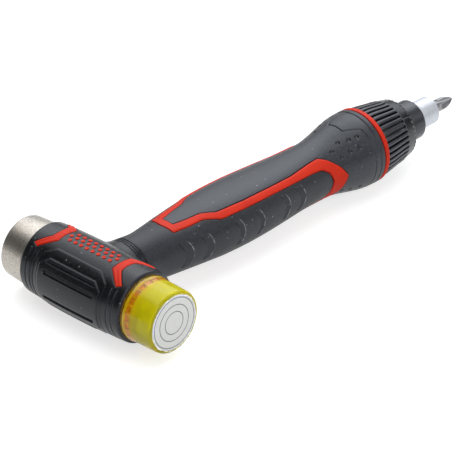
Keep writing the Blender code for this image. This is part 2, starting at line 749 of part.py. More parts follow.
def make_handle_core():
    """Hard handle body: panels and bulge at full size, sunk under the grips and the red frame."""
    inset = GRIP_WALL + GAP
    grip, panel = moved_edges(0.0, GAP)
    neck = spread_angles(NECK_BACK, NECK_COLUMN, NECK_ANGLE)
    waist = spread_angles(HOOK_RING, HOOK_COLUMN, HOOK_ANGLE)
    front = spread_angles(BULGE_FRONT, HOOK_COLUMN, 90 * HOOK_COLUMN / (len(frame_quarter()) - 1))
    bore = HOUSING_RADIUS + GAP
    well = CLIP_RADIUS + 4 * GAP
    seat = HOUSING_BACK - GAP
    radius = SHAFT_RADIUS + GAP
    rings = [bore_ring(neck, SHAFT_FRONT + GAP, radius), bore_ring(neck, NECK_BACK, radius)]
    rings += [surface_ring(between(neck, grip, row / SUNK_ROWS), inset) for row in range(SUNK_ROWS + 1)]
    rings += [surface_ring(between(grip, panel, 0.5), inset), surface_ring(panel, inset)]
    rings += [surface_ring(between(panel, waist, row / PANEL_ROWS), 0.0) for row in range(PANEL_ROWS + 1)]
    rings += [surface_ring(between(waist, front, row / BULGE_ROWS), 0.0) for row in range(1, BULGE_ROWS + 1)]
    rings += [bore_ring(front, BULGE_FRONT, bore), bore_ring(front, seat, bore), bore_ring(front, seat, well),
              bore_ring(front, seat - SPINDLE_TAIL - 2 * GAP, well)]
    return loft("handle_core", rings, GREY_PLASTIC)


def make_grip_sleeve():
    """Soft black neck and side grips, one sleeve that stops at the red frame."""
    grip, _ = moved_edges(GAP, 0.0)
    neck = spread_angles(NECK_BACK, NECK_COLUMN, NECK_ANGLE)
    rings = [surface_ring(between(neck, grip, row / GRIP_ROWS), 0.0) for row in range(GRIP_ROWS + 1)]
    sunk = [surface_ring(between(neck, grip, row / SUNK_ROWS), GRIP_WALL) for row in range(SUNK_ROWS + 1)]
    rings += reversed(sunk)
    return loft("grip_sleeve", rings, BLACK_RUBBER, closed=True)


def make_red_frame():
    """Red band between panels and grips, one closed loop over top, sides and underside."""
    grip, panel = moved_edges(0.0, 0.0)
    middle = between(grip, panel, 0.5)
    rings = []
    for stations in zip(grip, middle, panel):
        ring = [handle_point(distance, angle, 0.0) for distance, angle in stations]
        ring += [handle_point(distance, angle, GRIP_WALL) for distance, angle in reversed(stations)]
        rings.append(ring)
    return loft("red_frame", rings, RED_PLASTIC, closed=True)


def make_red_ring():
    """Thin red ring between the bulge and the selector ring."""
    front = RED_RING_BACK + RED_RING_WIDTH
    bore = HOUSING_RADIUS + GAP
    band = tube(front, RED_RING_BACK, RED_RING_RADIUS, bore)
    return turned("red_ring", band, "Y", LARGE_ROUND, RED_PLASTIC, ring=True)


# Ratchet pieces
def pawl_place(side):
    """Place of a pawl's pin in X and Z; side is the sign of x."""
    turn = math.radians(PAWL_PIVOT_ANGLE)
    return side * PAWL_PIVOT_RADIUS * math.sin(turn), PAWL_PIVOT_RADIUS * math.cos(turn)


def sector(start, end, inner, outer, steps):
    """Flat sector between two angles from the top line and two radii, as X and Z pairs."""
    points = arc((0.0, 0.0), outer, 90 - start, 90 - end, steps)
    return points + arc((0.0, 0.0), inner, 90 - end, 90 - start, steps)


def make_ratchet_housing():
    """Fixed housing round the gear, with the pawl window, the tab slot, pin holes and detent hole."""
    spindle_bore = SPINDLE_RADIUS + GAP
    gear_bore = GEAR_TIP_RADIUS + GAP
    nose_bore = NOSE_SPIGOT_RADIUS + GAP
    spigot = HOUSING_FRONT - NOSE_SPIGOT_LENGTH
    wall = HOUSING_BACK + HOUSING_WALL
    snap = SELECTOR_BACK + SNAP_RING_PLACE
    groove = SNAP_RING_WIDTH / 2 + GAP
    groove_radius = HOUSING_NOSE_RADIUS - 2 * GAP
    nose = HOUSING_NOSE_RADIUS
    housing = turned("ratchet_housing", [
        (HOUSING_FRONT, nose), (snap + groove, nose), (snap + groove, groove_radius),
        (snap - groove, groove_radius), (snap - groove, nose),
        (HOUSING_FLANGE_FRONT, nose), (HOUSING_FLANGE_FRONT, HOUSING_RADIUS),
        (HOUSING_BACK, HOUSING_RADIUS), (HOUSING_BACK, spindle_bore), (wall, spindle_bore), (wall, gear_bore),
        (WINDOW_FRONT, gear_bore), (WINDOW_FRONT, spindle_bore), (spigot, spindle_bore), (spigot, nose_bore),
        (HOUSING_FRONT, nose_bore)], "Y", SMALL_ROUND, CAST_ZINC, ring=True)
    outside = HOUSING_RADIUS + SPRING_WIDTH
    opening = sector(-PAWL_WINDOW_ANGLE, PAWL_WINDOW_ANGLE, SPINDLE_RADIUS, outside, SMALL_ROUND)
    combine(housing, outline_solid("pawl_window", [opening], wall, WINDOW_FRONT))
    reach = SELECTOR_TRAVEL + math.degrees(SELECTOR_TAB_WIDTH / HOUSING_NOSE_RADIUS)
    travel = sector(-reach, reach, nose - GAP, HOUSING_RADIUS - 2 * GAP, PIN_ROUND)
    combine(housing, outline_solid("tab_slot", [travel], WINDOW_FRONT - OVERLAP, SELECTOR_BACK))
    bottom = HOUSING_RADIUS - SPRING_THICKNESS - 2 * GAP
    half = SPRING_WIDTH / 2 + GAP
    middle = (GEAR_BACK + GEAR_FRONT) / 2
    channel = tube(middle + half, middle - half, outside, bottom)
    combine(housing, turned("spring_channel", channel, "Y", SMALL_ROUND, ring=True))
    for side, label in ((1, "right"), (-1, "left")):
        hole = circle(pawl_place(side), PAWL_PIN_RADIUS + GAP, PIN_ROUND)
        depth = PAWL_PIN_DEPTH + GAP
        combine(housing, outline_solid("pin_hole_" + label, [hole], wall - depth, WINDOW_FRONT + depth))
    combine(housing, detent_hole())
    return housing


def detent_hole():
    """Blind hole for the detent spring and ball, drilled up from the underside of the nose."""
    radius = DETENT_BALL_RADIUS + GAP
    depth = HOUSING_NOSE_RADIUS - detent_floor() + OVERLAP
    hole = upright_rod("detent_hole", radius, depth / 2)
    hole.location = (0.0, SELECTOR_BACK + DETENT_PLACE, -detent_floor() - depth / 2)
    return hole


def detent_centre():
    """Distance of the ball's centre from the spindle axis."""
    return HOUSING_NOSE_RADIUS + DETENT_BALL_RISE - DETENT_BALL_RADIUS


def detent_floor():
    """Distance of the floor of the detent hole from the spindle axis."""
    return detent_centre() - DETENT_BALL_RADIUS - DETENT_SPRING_LENGTH - 2 * GAP


def make_drive_gear():
    """Toothed gear on the spindle."""
    outline = []
    pitch = 360 / GEAR_TEETH
    for tooth in range(GEAR_TEETH):
        start = tooth * pitch
        for share, radius in ((-0.28, GEAR_ROOT_RADIUS), (-0.08, GEAR_TIP_RADIUS), (0.08, GEAR_TIP_RADIUS),
                              (0.28, GEAR_ROOT_RADIUS)):
            turn = math.radians(90 - start - share * pitch)
            outline.append((radius * math.cos(turn), radius * math.sin(turn)))
    hole = circle((0.0, 0.0), SPINDLE_RADIUS + GAP, SMALL_ROUND)
    return outline_solid("drive_gear", [outline, hole], GEAR_BACK, GEAR_FRONT, DARK_STEEL)


def make_pawl(side, label):
    """Two-armed pawl on its pin: a pointed nose at the gear and a tail towards the selector's tab."""
    nose_x, nose_z = PAWL_NOSE
    tail_x, tail_z = PAWL_TAIL
    nose_turn = math.degrees(math.atan2(nose_z, nose_x))
    tail_turn = math.degrees(math.atan2(tail_z, tail_x)) % 360
    arm = math.degrees(math.asin(PAWL_ARM / 2 / PAWL_BOSS_RADIUS))
    half = PAWL_ARM / 2
    outline = arc((0.0, 0.0), PAWL_BOSS_RADIUS, nose_turn + 2 * arm, tail_turn - arm, 5)
    outline += [(tail_x, tail_z + half), (tail_x, tail_z - half)]
    outline += arc((0.0, 0.0), PAWL_BOSS_RADIUS, tail_turn + arm, 360 + nose_turn - arm, 4)
    outline += [(nose_x, nose_z)]
    turn = math.radians(PAWL_PIVOT_ANGLE)
    across, up = math.cos(turn), math.sin(turn)
    placed = [(side * (x * across + z * up), z * across - x * up) for x, z in outline]
    hole = circle((0.0, 0.0), PAWL_PIN_RADIUS + GAP, PIN_ROUND)
    pawl = outline_solid("pawl_" + label, [placed, hole], GEAR_BACK, GEAR_FRONT, DARK_STEEL)
    x, z = pawl_place(side)
    pawl.location = (x, pawl.location.y, z)
    return pawl


def make_pawl_pin(side, label):
    """Pin of one pawl, held in both end walls of the housing's window."""
    x, z = pawl_place(side)
    pin = outline_solid("pawl_pin_" + label, [circle((0.0, 0.0), PAWL_PIN_RADIUS, PIN_ROUND)],
                        GEAR_BACK - GAP - PAWL_PIN_DEPTH, WINDOW_FRONT + PAWL_PIN_DEPTH, SPRING_STEEL)
    pin.location = (x, pin.location.y, z)
    return pin


def make_pawl_spring():
    """C-shaped band spring round the housing, over the backs of the pawls."""
    middle = (GEAR_BACK + GEAR_FRONT) / 2
    opening = 180 - SPRING_OPENING / 2
    band = sector(-opening, opening, SPRING_RADIUS - SPRING_THICKNESS, SPRING_RADIUS, SMALL_ROUND)
    half = SPRING_WIDTH / 2
    return outline_solid("pawl_spring", [band], middle - half, middle + half, SPRING_STEEL)


def make_spindle_clip():
    """Open clip in the groove at the tail of the spindle."""
    back = HOUSING_BACK - GAP - CLIP_WIDTH
    opening = 180 - CLIP_OPENING / 2
    inner = SPINDLE_RADIUS - CLIP_GROOVE_DEPTH + GAP
    ring = sector(-opening, opening, inner, CLIP_RADIUS, SMALL_ROUND)
    return outline_solid("spindle_clip", [ring], back, back + CLIP_WIDTH, SPRING_STEEL)


def make_selector_ring():
    """Ribbed ring that sets the ratchet, with its inner tab between the pawls."""
    bore = HOUSING_NOSE_RADIUS + GAP
    lip_bore = NOSE_RADIUS + GAP
    back = SELECTOR_BACK
    front = back + SELECTOR_LENGTH
    ribs_end = back + SELECTOR_RIB_END
    lip = front - SELECTOR_LIP
    snap = back + SNAP_RING_PLACE
    groove = SNAP_RING_WIDTH / 2 + GAP
    groove_radius = bore + SNAP_RING_DEPTH - GAP
    track = back + DETENT_PLACE
    track_half = DETENT_BALL_RADIUS + GAP
    track_radius = bore + DETENT_TRACK_DEPTH
    depth = SELECTOR_RIB_DEPTH
    outside = [(back, SELECTOR_BACK_RADIUS, depth), (ribs_end, SELECTOR_RIB_END_RADIUS, depth),
               (ribs_end + GAP, SELECTOR_SHOULDER_RADIUS, 0.0),
               (front - SELECTOR_FRONT_DROP, SELECTOR_FRONT_RADIUS + SELECTOR_FRONT_DROP, 0.0),
               (front, SELECTOR_FRONT_RADIUS, 0.0)]
    inside = [(front + OVERLAP, 0.0), (front + OVERLAP, lip_bore), (lip, lip_bore), (lip, bore),
              (snap + groove, bore), (snap + groove, groove_radius), (snap - groove, groove_radius),
              (snap - groove, bore), (track + track_half, bore), (track + track_half, track_radius),
              (track - track_half, track_radius), (track - track_half, bore), (back - OVERLAP, bore),
              (back - OVERLAP, 0.0)]
    rings = []
    for y, radius, dip in outside:
        ring = []
        for index in range(2 * SELECTOR_RIBS):
            angle = 90 + 180 * index / SELECTOR_RIBS
            ring.append(round_point(y - back, angle, radius - dip * (index % 2)))
        rings.append(ring)
    selector = loft("selector_ring", rings, BLACK_PLASTIC)
    selector.location = (0.0, back, 0.0)
    combine(selector, turned("selector_bore", inside, "Y", MEDIUM_ROUND))
    middle = bore + SELECTOR_TAB_RISE + SELECTOR_TAB_THICKNESS / 2
    tab_size = (SELECTOR_TAB_WIDTH, SELECTOR_TAB_LENGTH + 2 * OVERLAP, SELECTOR_TAB_THICKNESS)
    tab = block("selector_tab", tab_size, (0.0, back + OVERLAP - SELECTOR_TAB_LENGTH / 2, middle))
    combine(selector, tab, "UNION")
    return selector


def make_selector_snap_ring():
    """Wire ring that keeps the selector on the housing's nose, half in each groove."""
    middle = SELECTOR_BACK + SNAP_RING_PLACE
    inner = HOUSING_NOSE_RADIUS - GAP
    outer = inner + SNAP_RING_DEPTH
    half = SNAP_RING_WIDTH / 2
    return turned("selector_snap_ring", tube(middle + half, middle - half, outer, inner), "Y", SMALL_ROUND,
                  SPRING_STEEL, ring=True)


def make_detent_ball():
    """Steel ball that clicks in the selector's track."""
    shape = bmesh.new()
    bmesh.ops.create_uvsphere(shape, u_segments=PIN_ROUND, v_segments=PIN_ROUND // 2,
                              radius=DETENT_BALL_RADIUS)
    mesh = bpy.data.meshes.new("detent_ball")
    shape.to_mesh(mesh)
    shape.free()
    mesh.shade_smooth()
    ball = add_object("detent_ball", mesh, SPRING_STEEL)
    ball.location = (0.0, SELECTOR_BACK + DETENT_PLACE, -detent_centre())
    return ball


def make_detent_spring():
    """Small coil that presses the ball outwards."""
    points_per_turn = 8
    count = DETENT_SPRING_TURNS * points_per_turn
    length = DETENT_SPRING_LENGTH - 2 * DETENT_WIRE_RADIUS
    curve = bpy.data.curves.new("detent_spring", "CURVE")
    curve.dimensions = "3D"
    curve.bevel_depth = DETENT_WIRE_RADIUS
    curve.bevel_resolution = 0
    curve.use_fill_caps = True
    spline = curve.splines.new("POLY")
    spline.points.add(count)
    for index, point in enumerate(spline.points):
        turn = 2 * math.pi * index / points_per_turn
        height = length * (index / count - 0.5)
        point.co = (DETENT_SPRING_RADIUS * math.cos(turn), DETENT_SPRING_RADIUS * math.sin(turn), height, 1.0)
    curve.materials.append(SPRING_STEEL)
    coil = bpy.data.objects.new("detent_spring", curve)
    coil.parent = tool_frame
    parts.objects.link(coil)
    middle = detent_floor() + GAP + DETENT_SPRING_LENGTH / 2
    coil.location = (0.0, SELECTOR_BACK + DETENT_PLACE, -middle)
    return coil


# Nose, bit holder and bit
def make_nose_bushing():
    """Black nose: front bearing of the spindle, with a spigot in the housing."""
    bore = SPINDLE_RADIUS + GAP
    back = NOSE_BACK - NOSE_SPIGOT_LENGTH
    rim = rounded_face(NOSE_FRONT, NOSE_RADIUS, NOSE_EDGE_RADIUS, 1)[1:]
    profile = rim + [(NOSE_BACK, NOSE_RADIUS), (NOSE_BACK, NOSE_SPIGOT_RADIUS), (back, NOSE_SPIGOT_RADIUS),
                     (back, bore), (NOSE_FRONT, bore)]
    return turned("nose_bushing", profile, "Y", MEDIUM_ROUND, BLACK_PLASTIC, ring=True)


def hexagon(flat):
    """Corners of a hexagon with the given width across its flats."""
    return circle((0.0, 0.0), flat / math.sqrt(3), 6)


def make_bit_holder():
    """Spindle with the bright sleeve, the hexagon socket for the bit and the magnet's pocket."""
    back = HOUSING_BACK - SPINDLE_TAIL
    clip_front = HOUSING_BACK
    clip_back = HOUSING_BACK - 2 * GAP - CLIP_WIDTH
    groove = SPINDLE_RADIUS - CLIP_GROOVE_DEPTH
    chamfer = SLEEVE_CHAMFER
    holder = turned("bit_holder", [
        (SLEEVE_FRONT, 0.0), (SLEEVE_FRONT, SLEEVE_RADIUS - chamfer), (SLEEVE_FRONT - chamfer, SLEEVE_RADIUS),
        (SLEEVE_BACK, SLEEVE_RADIUS), (SLEEVE_BACK, SPINDLE_RADIUS), (clip_front, SPINDLE_RADIUS),
        (clip_front, groove), (clip_back, groove), (clip_back, SPINDLE_RADIUS), (back, SPINDLE_RADIUS),
        (back, 0.0)],
        "Y", MEDIUM_ROUND, CHROMED_STEEL, place=SLEEVE_BACK)
    floor = SLEEVE_FRONT - BIT_SOCKET_DEPTH
    socket = outline_solid("bit_socket", [hexagon(BIT_FLAT + 2 * GAP)], floor, SLEEVE_FRONT + GAP)
    combine(holder, socket)
    pocket_floor = floor - MAGNET_LENGTH - 2 * GAP
    pocket = circle((0.0, 0.0), MAGNET_RADIUS + GAP, SMALL_ROUND)
    combine(holder, outline_solid("magnet_pocket", [pocket], pocket_floor, floor + GAP))
    return holder


def make_bit_magnet():
    """Magnet at the bottom of the bit's socket."""
    front = SLEEVE_FRONT - BIT_SOCKET_DEPTH - GAP
    disc = circle((0.0, 0.0), MAGNET_RADIUS, SMALL_ROUND)
    return outline_solid("bit_magnet", [disc], front - MAGNET_LENGTH, front, SPRING_STEEL)


def make_screwdriver_bit():
    """Insert bit: hexagon shank, round neck and four-winged point."""
    facets = 24
    corner = BIT_FLAT / math.sqrt(3)
    shank_end = BIT_SOCKET_DEPTH

    def bit_ring(distance, radius, flute, hexed):
        ring = []
        for index in range(facets):
            angle = 360 * index / facets
            reach = radius
            if hexed:
                reach = corner * math.cos(math.radians(30)) / math.cos(math.radians(angle % 60 - 30))
            wing = abs(math.sin(math.radians(2 * angle)))
            ring.append(round_point(distance, 90 + angle, reach * (1 - flute * wing)))
        return ring

    neck = BIT_NECK_RADIUS
    rings = [bit_ring(0.0, corner, 0.0, True), bit_ring(shank_end, corner, 0.0, True),
             bit_ring(shank_end + 2 * GAP, neck, 0.0, False), bit_ring(BIT_FLUTE_START, neck, 0.0, False)]
    fluted = BIT_LENGTH - BIT_FLUTE_START
    steps = 6
    for step in range(1, steps + 1):
        left = fluted * (1 - step / steps)
        taper = max(0.0, 1 - left / BIT_TAPER_LENGTH)
        radius = neck + (BIT_TIP_RADIUS - neck) * taper
        depth = BIT_FLUTE_SHARE * math.sin(math.radians(90 * step / steps))
        rings.append(bit_ring(BIT_LENGTH - left, radius, depth, False))
    bit = loft("screwdriver_bit", rings, DARK_STEEL)
    bit.location = (0.0, BIT_BACK, 0.0)
    return bit


make_head_core()
make_head_red_layer()
make_head_cover()
make_steel_face()
make_soft_face()
make_soft_face_insert()
make_face_label()
upright_rod("shaft_pin", PIN_RADIUS, PIN_LENGTH / 2, DARK_STEEL)
make_handle_shaft()
make_handle_core()
make_grip_sleeve()
make_red_frame()
make_red_ring()
make_ratchet_housing()
make_drive_gear()
for pawl_side, pawl_label in ((1, "right"), (-1, "left")):
    make_pawl(pawl_side, pawl_label)
    make_pawl_pin(pawl_side, pawl_label)
make_pawl_spring()
make_spindle_clip()
make_selector_ring()
make_selector_snap_ring()
make_detent_ball()
make_detent_spring()
make_nose_bushing()
make_bit_holder()
make_bit_magnet()
make_screwdriver_bit()
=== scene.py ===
"""Studio picture of the two-faced hammer with a ratchet screwdriver in its handle.

Shapes are worked out in millimetres in the tool frame: its origin is where the head's axis and the
handle's axis cross, +X points to the soft face, +Y to the bit and +Z up. Angles are degrees.
"""

import math

import bmesh
import bpy
import numpy as np
from mathutils import Matrix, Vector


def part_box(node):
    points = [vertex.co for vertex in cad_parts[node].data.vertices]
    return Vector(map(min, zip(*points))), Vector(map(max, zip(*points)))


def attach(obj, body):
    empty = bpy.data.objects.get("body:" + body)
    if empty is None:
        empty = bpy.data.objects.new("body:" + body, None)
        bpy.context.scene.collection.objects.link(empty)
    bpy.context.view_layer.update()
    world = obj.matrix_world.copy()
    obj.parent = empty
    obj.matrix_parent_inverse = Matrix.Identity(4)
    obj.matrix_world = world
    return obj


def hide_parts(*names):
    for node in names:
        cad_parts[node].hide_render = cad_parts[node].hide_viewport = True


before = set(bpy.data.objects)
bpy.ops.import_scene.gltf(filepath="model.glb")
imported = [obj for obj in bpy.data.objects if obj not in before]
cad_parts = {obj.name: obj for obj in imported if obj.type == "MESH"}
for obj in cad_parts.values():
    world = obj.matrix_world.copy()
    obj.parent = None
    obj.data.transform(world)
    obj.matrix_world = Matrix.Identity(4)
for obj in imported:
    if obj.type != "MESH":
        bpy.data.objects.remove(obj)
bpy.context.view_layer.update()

MM = 0.001
COVER_LOW, COVER_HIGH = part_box("head_cover")
STEEL_LOW, STEEL_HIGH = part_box("steel_face")
CROSSING = np.array((
    (COVER_LOW[0] + COVER_HIGH[0]) / 2,
    (STEEL_LOW[1] + STEEL_HIGH[1]) / 2,
    (STEEL_LOW[2] + STEEL_HIGH[2]) / 2,
))
LATHE_COLUMNS = 128
LEAST_RADIUS = 0.02

# Head cover
HEAD_HALF = 30.0
CROWN = 17.2
END_DROP = 0.9
COVER_EDGE = 0.9
COVER_BORE = 14.6
COVER_ROWS = 230
COVER_COLUMNS = 300
EDGE_ROWS = 7
# Raised pads at the free end: half length and angle from the end, corner by corner
OUTER_PAD = ((13.2, 60), (19.1, 46), (20.1, 36))
OUTER_RISE = 0.2
OUTER_BEVEL = 0.4
INNER_PAD = ((13.9, 43), (18.6, 31), (18.6, 15))
INNER_RISE = 0.58
INNER_BEVEL = 0.6
# Slots along the head: angle from the free end, width and depth
SLOTS = ((20, 1.6, 1.0), (35.5, 0.8, 0.45))
SLOT_HALF = 14.6
SLOT_WALL = 0.35
RING_LINES = (-26.0, -23.2, -21.3, 16.8, 23.2, 26.0)
RING_WIDTH = 0.95
RING_DEPTH = 0.42
RING_END = 49
RING_FADE = 3
SEAT_WIDTH = 0.8
SEAT_DEPTH = 0.35

# Neck of the head cover: a flare with ring steps
NECK_FRONT = 20.0
NECK_RADIUS = 12.3
NECK_WAIST = 12.7
NECK_ROOT = 15.9
NECK_SINK = 0.25
NECK_FLARE = 1.0
NECK_BORE = 4.4
NECK_LINES = (16.4, 17.8, 19.1)
NECK_LINE_WIDTH = 0.8
NECK_LINE_DEPTH = 0.4
NECK_ROWS = 90
NECK_COLUMNS = 160

# Red layer of the head; bracket stations from the middle out: inner x and angle, outer x and angle
RED_OUTER = 14.3
RED_INNER = 13.5
BRACKET = np.array(((16.6, 0.0, 20.5, 0.0), (16.5, 18.5, 20.8, 14.5), (24.0, 41.0, 26.5, 36.5)))
BRACKET_RISE = 0.28
UNDER_RISE = 0.02
BRACKET_ROOT = -2.4
BRACKET_COLUMNS = 13
BRACKET_FLAT = 0.6
BRACKET_SUNK = 0.3
BRACKET_SINK = 0.45
PIP_PITCH = 3.47
PIP_RADIUS = 0.92
PIP_RISE = 0.32
PIP_DISH = 0.14
PIP_COLUMNS = 24
PIP_ROWS = ((9.1, 8), (0.0, 9), (-9.1, 8))
# Section of a pip from its foot to its middle: share of its radius and height
PIP_SECTION = np.array((
    (1.0, -0.3), (1.0, PIP_RISE - 0.12), (0.93, PIP_RISE - 0.02), (0.78, PIP_RISE), (0.6, PIP_RISE - 0.08),
    (0.35, PIP_RISE - PIP_DISH), (0.03, PIP_RISE - PIP_DISH)))

# Striking faces: distance along the head, radius and rounding of each corner
STEEL_PROFILE = (
    (-44.0, 0.0, 0), (-44.0, 14.2, 1.0), (-30.3, 15.0, 0.4), (-30.3, 5.0, 0), (-18.3, 5.0, 0.4),
    (-18.3, 0.0, 0))
CLEAR_PROFILE = (
    (46.9, 0.0, 0), (46.9, 12.75, 0), (47.5, 12.75, 0.15), (47.5, 14.3, 1.8), (32.6, 14.6, 0.3),
    (32.1, 14.87, 0.25), (30.3, 14.87, 0.2), (30.3, 9.2, 0), (36.4, 9.2, 0), (36.4, 0.0, 0))
LABEL_RADIUS = 12.7
LABEL_PROFILE = ((47.48, 0.0, 0), (47.48, LABEL_RADIUS, 0.05), (47.2, LABEL_RADIUS, 0), (47.2, 0.0, 0))
LABEL_RINGS = (11.6, 8.4, 5.2)
LABEL_LINE = 0.45
# Amber insert: distance, radius and whether the row is notched
INSERT_PROFILE = (
    (18.3, 4.6, 0), (18.7, 5.0, 0), (30.6, 5.0, 0), (30.6, 13.4, 0), (31.6, 13.4, 0),
    (32.0, 13.2, 1), (35.2, 13.2, 1), (35.5, 12.9, 1), (35.5, 9.5, 0), (31.4, 9.5, 0))
INSERT_TEETH = 22
TOOTH_COLUMNS = 16
TOOTH_SLOPE = 3.5
TOOTH_CUT = 2.2
NOTCH_DEPTH = 1.5
# Where the yellow's thin wall ends, how clear it is there and in front, and how far light spreads in it
THIN_WALL = (34.9, 35.9)
THIN_CLEAR = 0.95
THICK_CLEAR = 0.5
GLOW_REACH = (6.0, 5.5, 0.6)

# Handle: distance along it, half width, half height and squareness of its section
HANDLE = np.array((
    (20.3, 12.3, 12.1, 2.00), (28.0, 11.7, 11.5, 2.05), (36.0, 12.4, 11.6, 2.20), (44.0, 13.6, 11.8, 2.30),
    (56.0, 15.0, 12.6, 2.30), (66.0, 16.0, 13.2, 2.30), (80.0, 16.4, 13.4, 2.30), (92.0, 16.0, 13.2, 2.30),
    (104.0, 15.1, 12.8, 2.30), (116.0, 14.2, 12.6, 2.20), (126.0, 13.7, 12.8, 2.10),
    (132.0, 13.5, 13.3, 2.00), (138.0, 14.2, 14.1, 2.00), (144.0, 15.4, 15.4, 2.00),
    (150.0, 16.7, 16.7, 2.00), (155.0, 17.5, 17.5, 2.00), (161.3, 17.8, 17.8, 2.00)))
# Edges of the red band: distance along the handle and angle from its top line
GRIP_EDGE = np.array((
    (38.6, 0.0), (39.7, 34.2), (48.0, 38.4), (55.7, 39.4), (63.8, 53.9), (78.0, 55.8), (95.0, 56.4),
    (110.0, 57.0), (121.5, 57.2), (126.5, 59.2), (130.2, 70.0), (131.7, 81.5), (132.0, 90.0)))
PANEL_EDGE = np.array((
    (42.5, 0.0), (42.7, 16.2), (50.0, 22.5), (56.9, 26.0), (63.3, 39.3), (78.0, 43.0), (95.0, 43.6),
    (109.0, 43.2), (122.0, 36.8), (127.5, 35.5), (131.5, 46.5), (136.8, 69.0), (140.4, 90.0)))
UNDER_SHARE = 0.66
UNDER_POWER = 4
MEAN_RADIUS = 14.0
SEAM = 0.36
RIM_DEPTH = 0.35
RIM_WIDTH = 0.5
CORNER_EASE = 0.5
EDGE_STEP = 0.2
WALL = 1.2
WALL_COLUMNS = 5
# Grip, and the lining under the panels, black as painted shade in the seams: first row, last row and count
GRIP_ROWS = (20.3, 131.8, 430)
FRONT_ROWS = 25
GRIP_COLUMNS = 96
GRIP_LIMIT = 89.6
LINING_ROWS = (36.0, 142.0, 60)
LINING_COLUMNS = 72
LINING_TOP = WALL + 0.05
LINING_BOTTOM = WALL + 0.9
# Finger grooves: where each drops and where it ends, and the bow of their curve over the grip's height
GROOVES = ((38.8, 43.2), (50.2, 54.2), (69.2, 71.8), (81.5, 83.8), (98.2, 101.0), (108.0, 111.3))
GROOVE_BOW = 2.2
GROOVE_MIDDLE = 0.7
GROOVE_HALF = 5.8
GROOVE_FADE = 0.4
GROOVE_DEPTH = 0.75
GROOVE_WALL = 1.2
GROOVE_HOLLOW = 1.2
LIP_RISE = 0.15
LIP_WIDTH = 0.9
# Body: rows of panels and bulge. What is sunk into it has a distance, an angle from the top line, and an
# arc radius, which is the bulge's own there
BODY_ROWS = ((PANEL_EDGE[1, 0] + SEAM, 131.0, 300), (131.2, 161.3, 190))
BODY_COLUMNS = 231
PANEL_LEAST = 0.3
PANEL_RIM_END = 140.2
EMBOSS = np.array(((147.2, 0.0), (146.9, 15.6), (154.4, 30.3), (154.9, 37.9), (155.3, 52.0), (155.3, 90.0)))
EMBOSS_ARC = 16.5
EMBOSS_WIDTH = 1.0
EMBOSS_DEPTH = 0.38
DIMPLES = (
    (139.1, 54.2), (144.1, 51.6), (149.2, 53.1), (141.2, 29.4), (146.3, 34.9), (150.3, 37.2), (136.1, 37.8))
DIMPLE_ARC = 15.5
DIMPLE_RADIUS = 1.25
DIMPLE_WALL = 0.8
DIMPLE_DEPTH = 0.65
# Polished bottom of a dimple from its foot to its middle: radius and lift
POLISH_SECTION = np.array((
    (0.95, -0.5), (0.95, 0.02), (0.8, 0.02), (0.6, 0.02), (0.4, 0.02), (0.2, 0.02), (0.02, 0.02)))
POLISH_COLUMNS = 20
BULGE_LINE = 158.6
BULGE_LINE_WIDTH = 1.1
BULGE_LINE_DEPTH = 0.4
BULGE_EDGE = 160.6
BULGE_EDGE_WIDTH = 0.7
BULGE_EDGE_DEPTH = 0.5
BAND_ROWS = (GRIP_EDGE[0, 0], 140.3, 420)
BAND_COLUMNS = 24
BAND_LEAST = 0.05
BAND_RIM_END = 131.6
BAND_RISE = 0.25
RED_RING_PROFILE = ((161.6, 13.3, 0), (161.6, 17.7, 0.4), (163.9, 17.7, 0.4), (163.9, 13.3, 0))

# Selector: its rows as first, last and count, its bore, and one rib in shares of the pitch
SELECTOR_BACK = 164.2
SELECTOR_FRONT = 186.2
SELECTOR_ROWS = (
    (SELECTOR_BACK, 165.0, 6), (165.3, 179.0, 24), (179.2, 180.4, 10), (180.8, 185.2, 12),
    (185.3, SELECTOR_FRONT, 8))
SELECTOR_BORE = ((SELECTOR_FRONT, 9.7), (184.6, 9.7), (184.6, 10.8), (SELECTOR_BACK, 10.8))
RIB_COUNT = 38
RIB_COLUMNS = np.array((
    -0.5, -0.42, -0.35, -0.31, -0.28, -0.25, -0.2, -0.1, 0.0, 0.1, 0.2, 0.25, 0.28, 0.31, 0.35, 0.42))
RIB_FOOT = 0.33
RIB_FLANK = 0.08
RIB_TOP = 0.28
RIB_CROWN = 0.12
RIB_RADIUS = 17.0
RIB_TAPER = 1.9
RIB_LENGTH = 17.0
RIB_DEPTH = 1.5
RIB_END = 179.9
RIB_END_WIDTH = 0.7
BACK_EASE = 0.7
BACK_EASE_DEPTH = 0.5
SHOULDER_START = 180.0
SHOULDER_RADIUS = 14.8
SHOULDER_DROP = 1.3
FRONT_EASE = 0.8
FRONT_EASE_DEPTH = 0.6
SCALLOP_START = 184.0
SCALLOP_WIDTH = 1.6
SCALLOP_DEPTH = 0.3

# Nose, holder and bit: distance along the handle, radius and rounding of each corner
NOSE_PROFILE = (
    (177.3, 5.3, 0), (177.3, 7.2, 0), (184.3, 7.2, 0), (184.3, 9.37, 0), (187.2, 9.37, 0.15),
    (187.4, 9.15, 0.15), (187.8, 9.15, 0.15), (188.0, 9.37, 0.15), (196.8, 9.37, 1.0), (196.8, 5.3, 0.2))
HOLDER_PROFILE = (
    (144.0, 0.05, 0), (144.0, 5.0, 0.2), (197.1, 5.0, 0), (197.1, 6.5, 0.3), (199.0, 6.5, 0.1),
    (199.15, 6.35, 0.1), (199.45, 6.35, 0.1), (199.6, 6.5, 0.1), (208.4, 6.5, 0.25), (209.15, 5.8, 0.2),
    (209.15, 4.4, 0.1))
HOLDER_COLUMNS = 120
MOUTH_FLAT = 6.95
MOUTH_ROWS = (208.8, 198.6)
HEX_EASE = 0.985
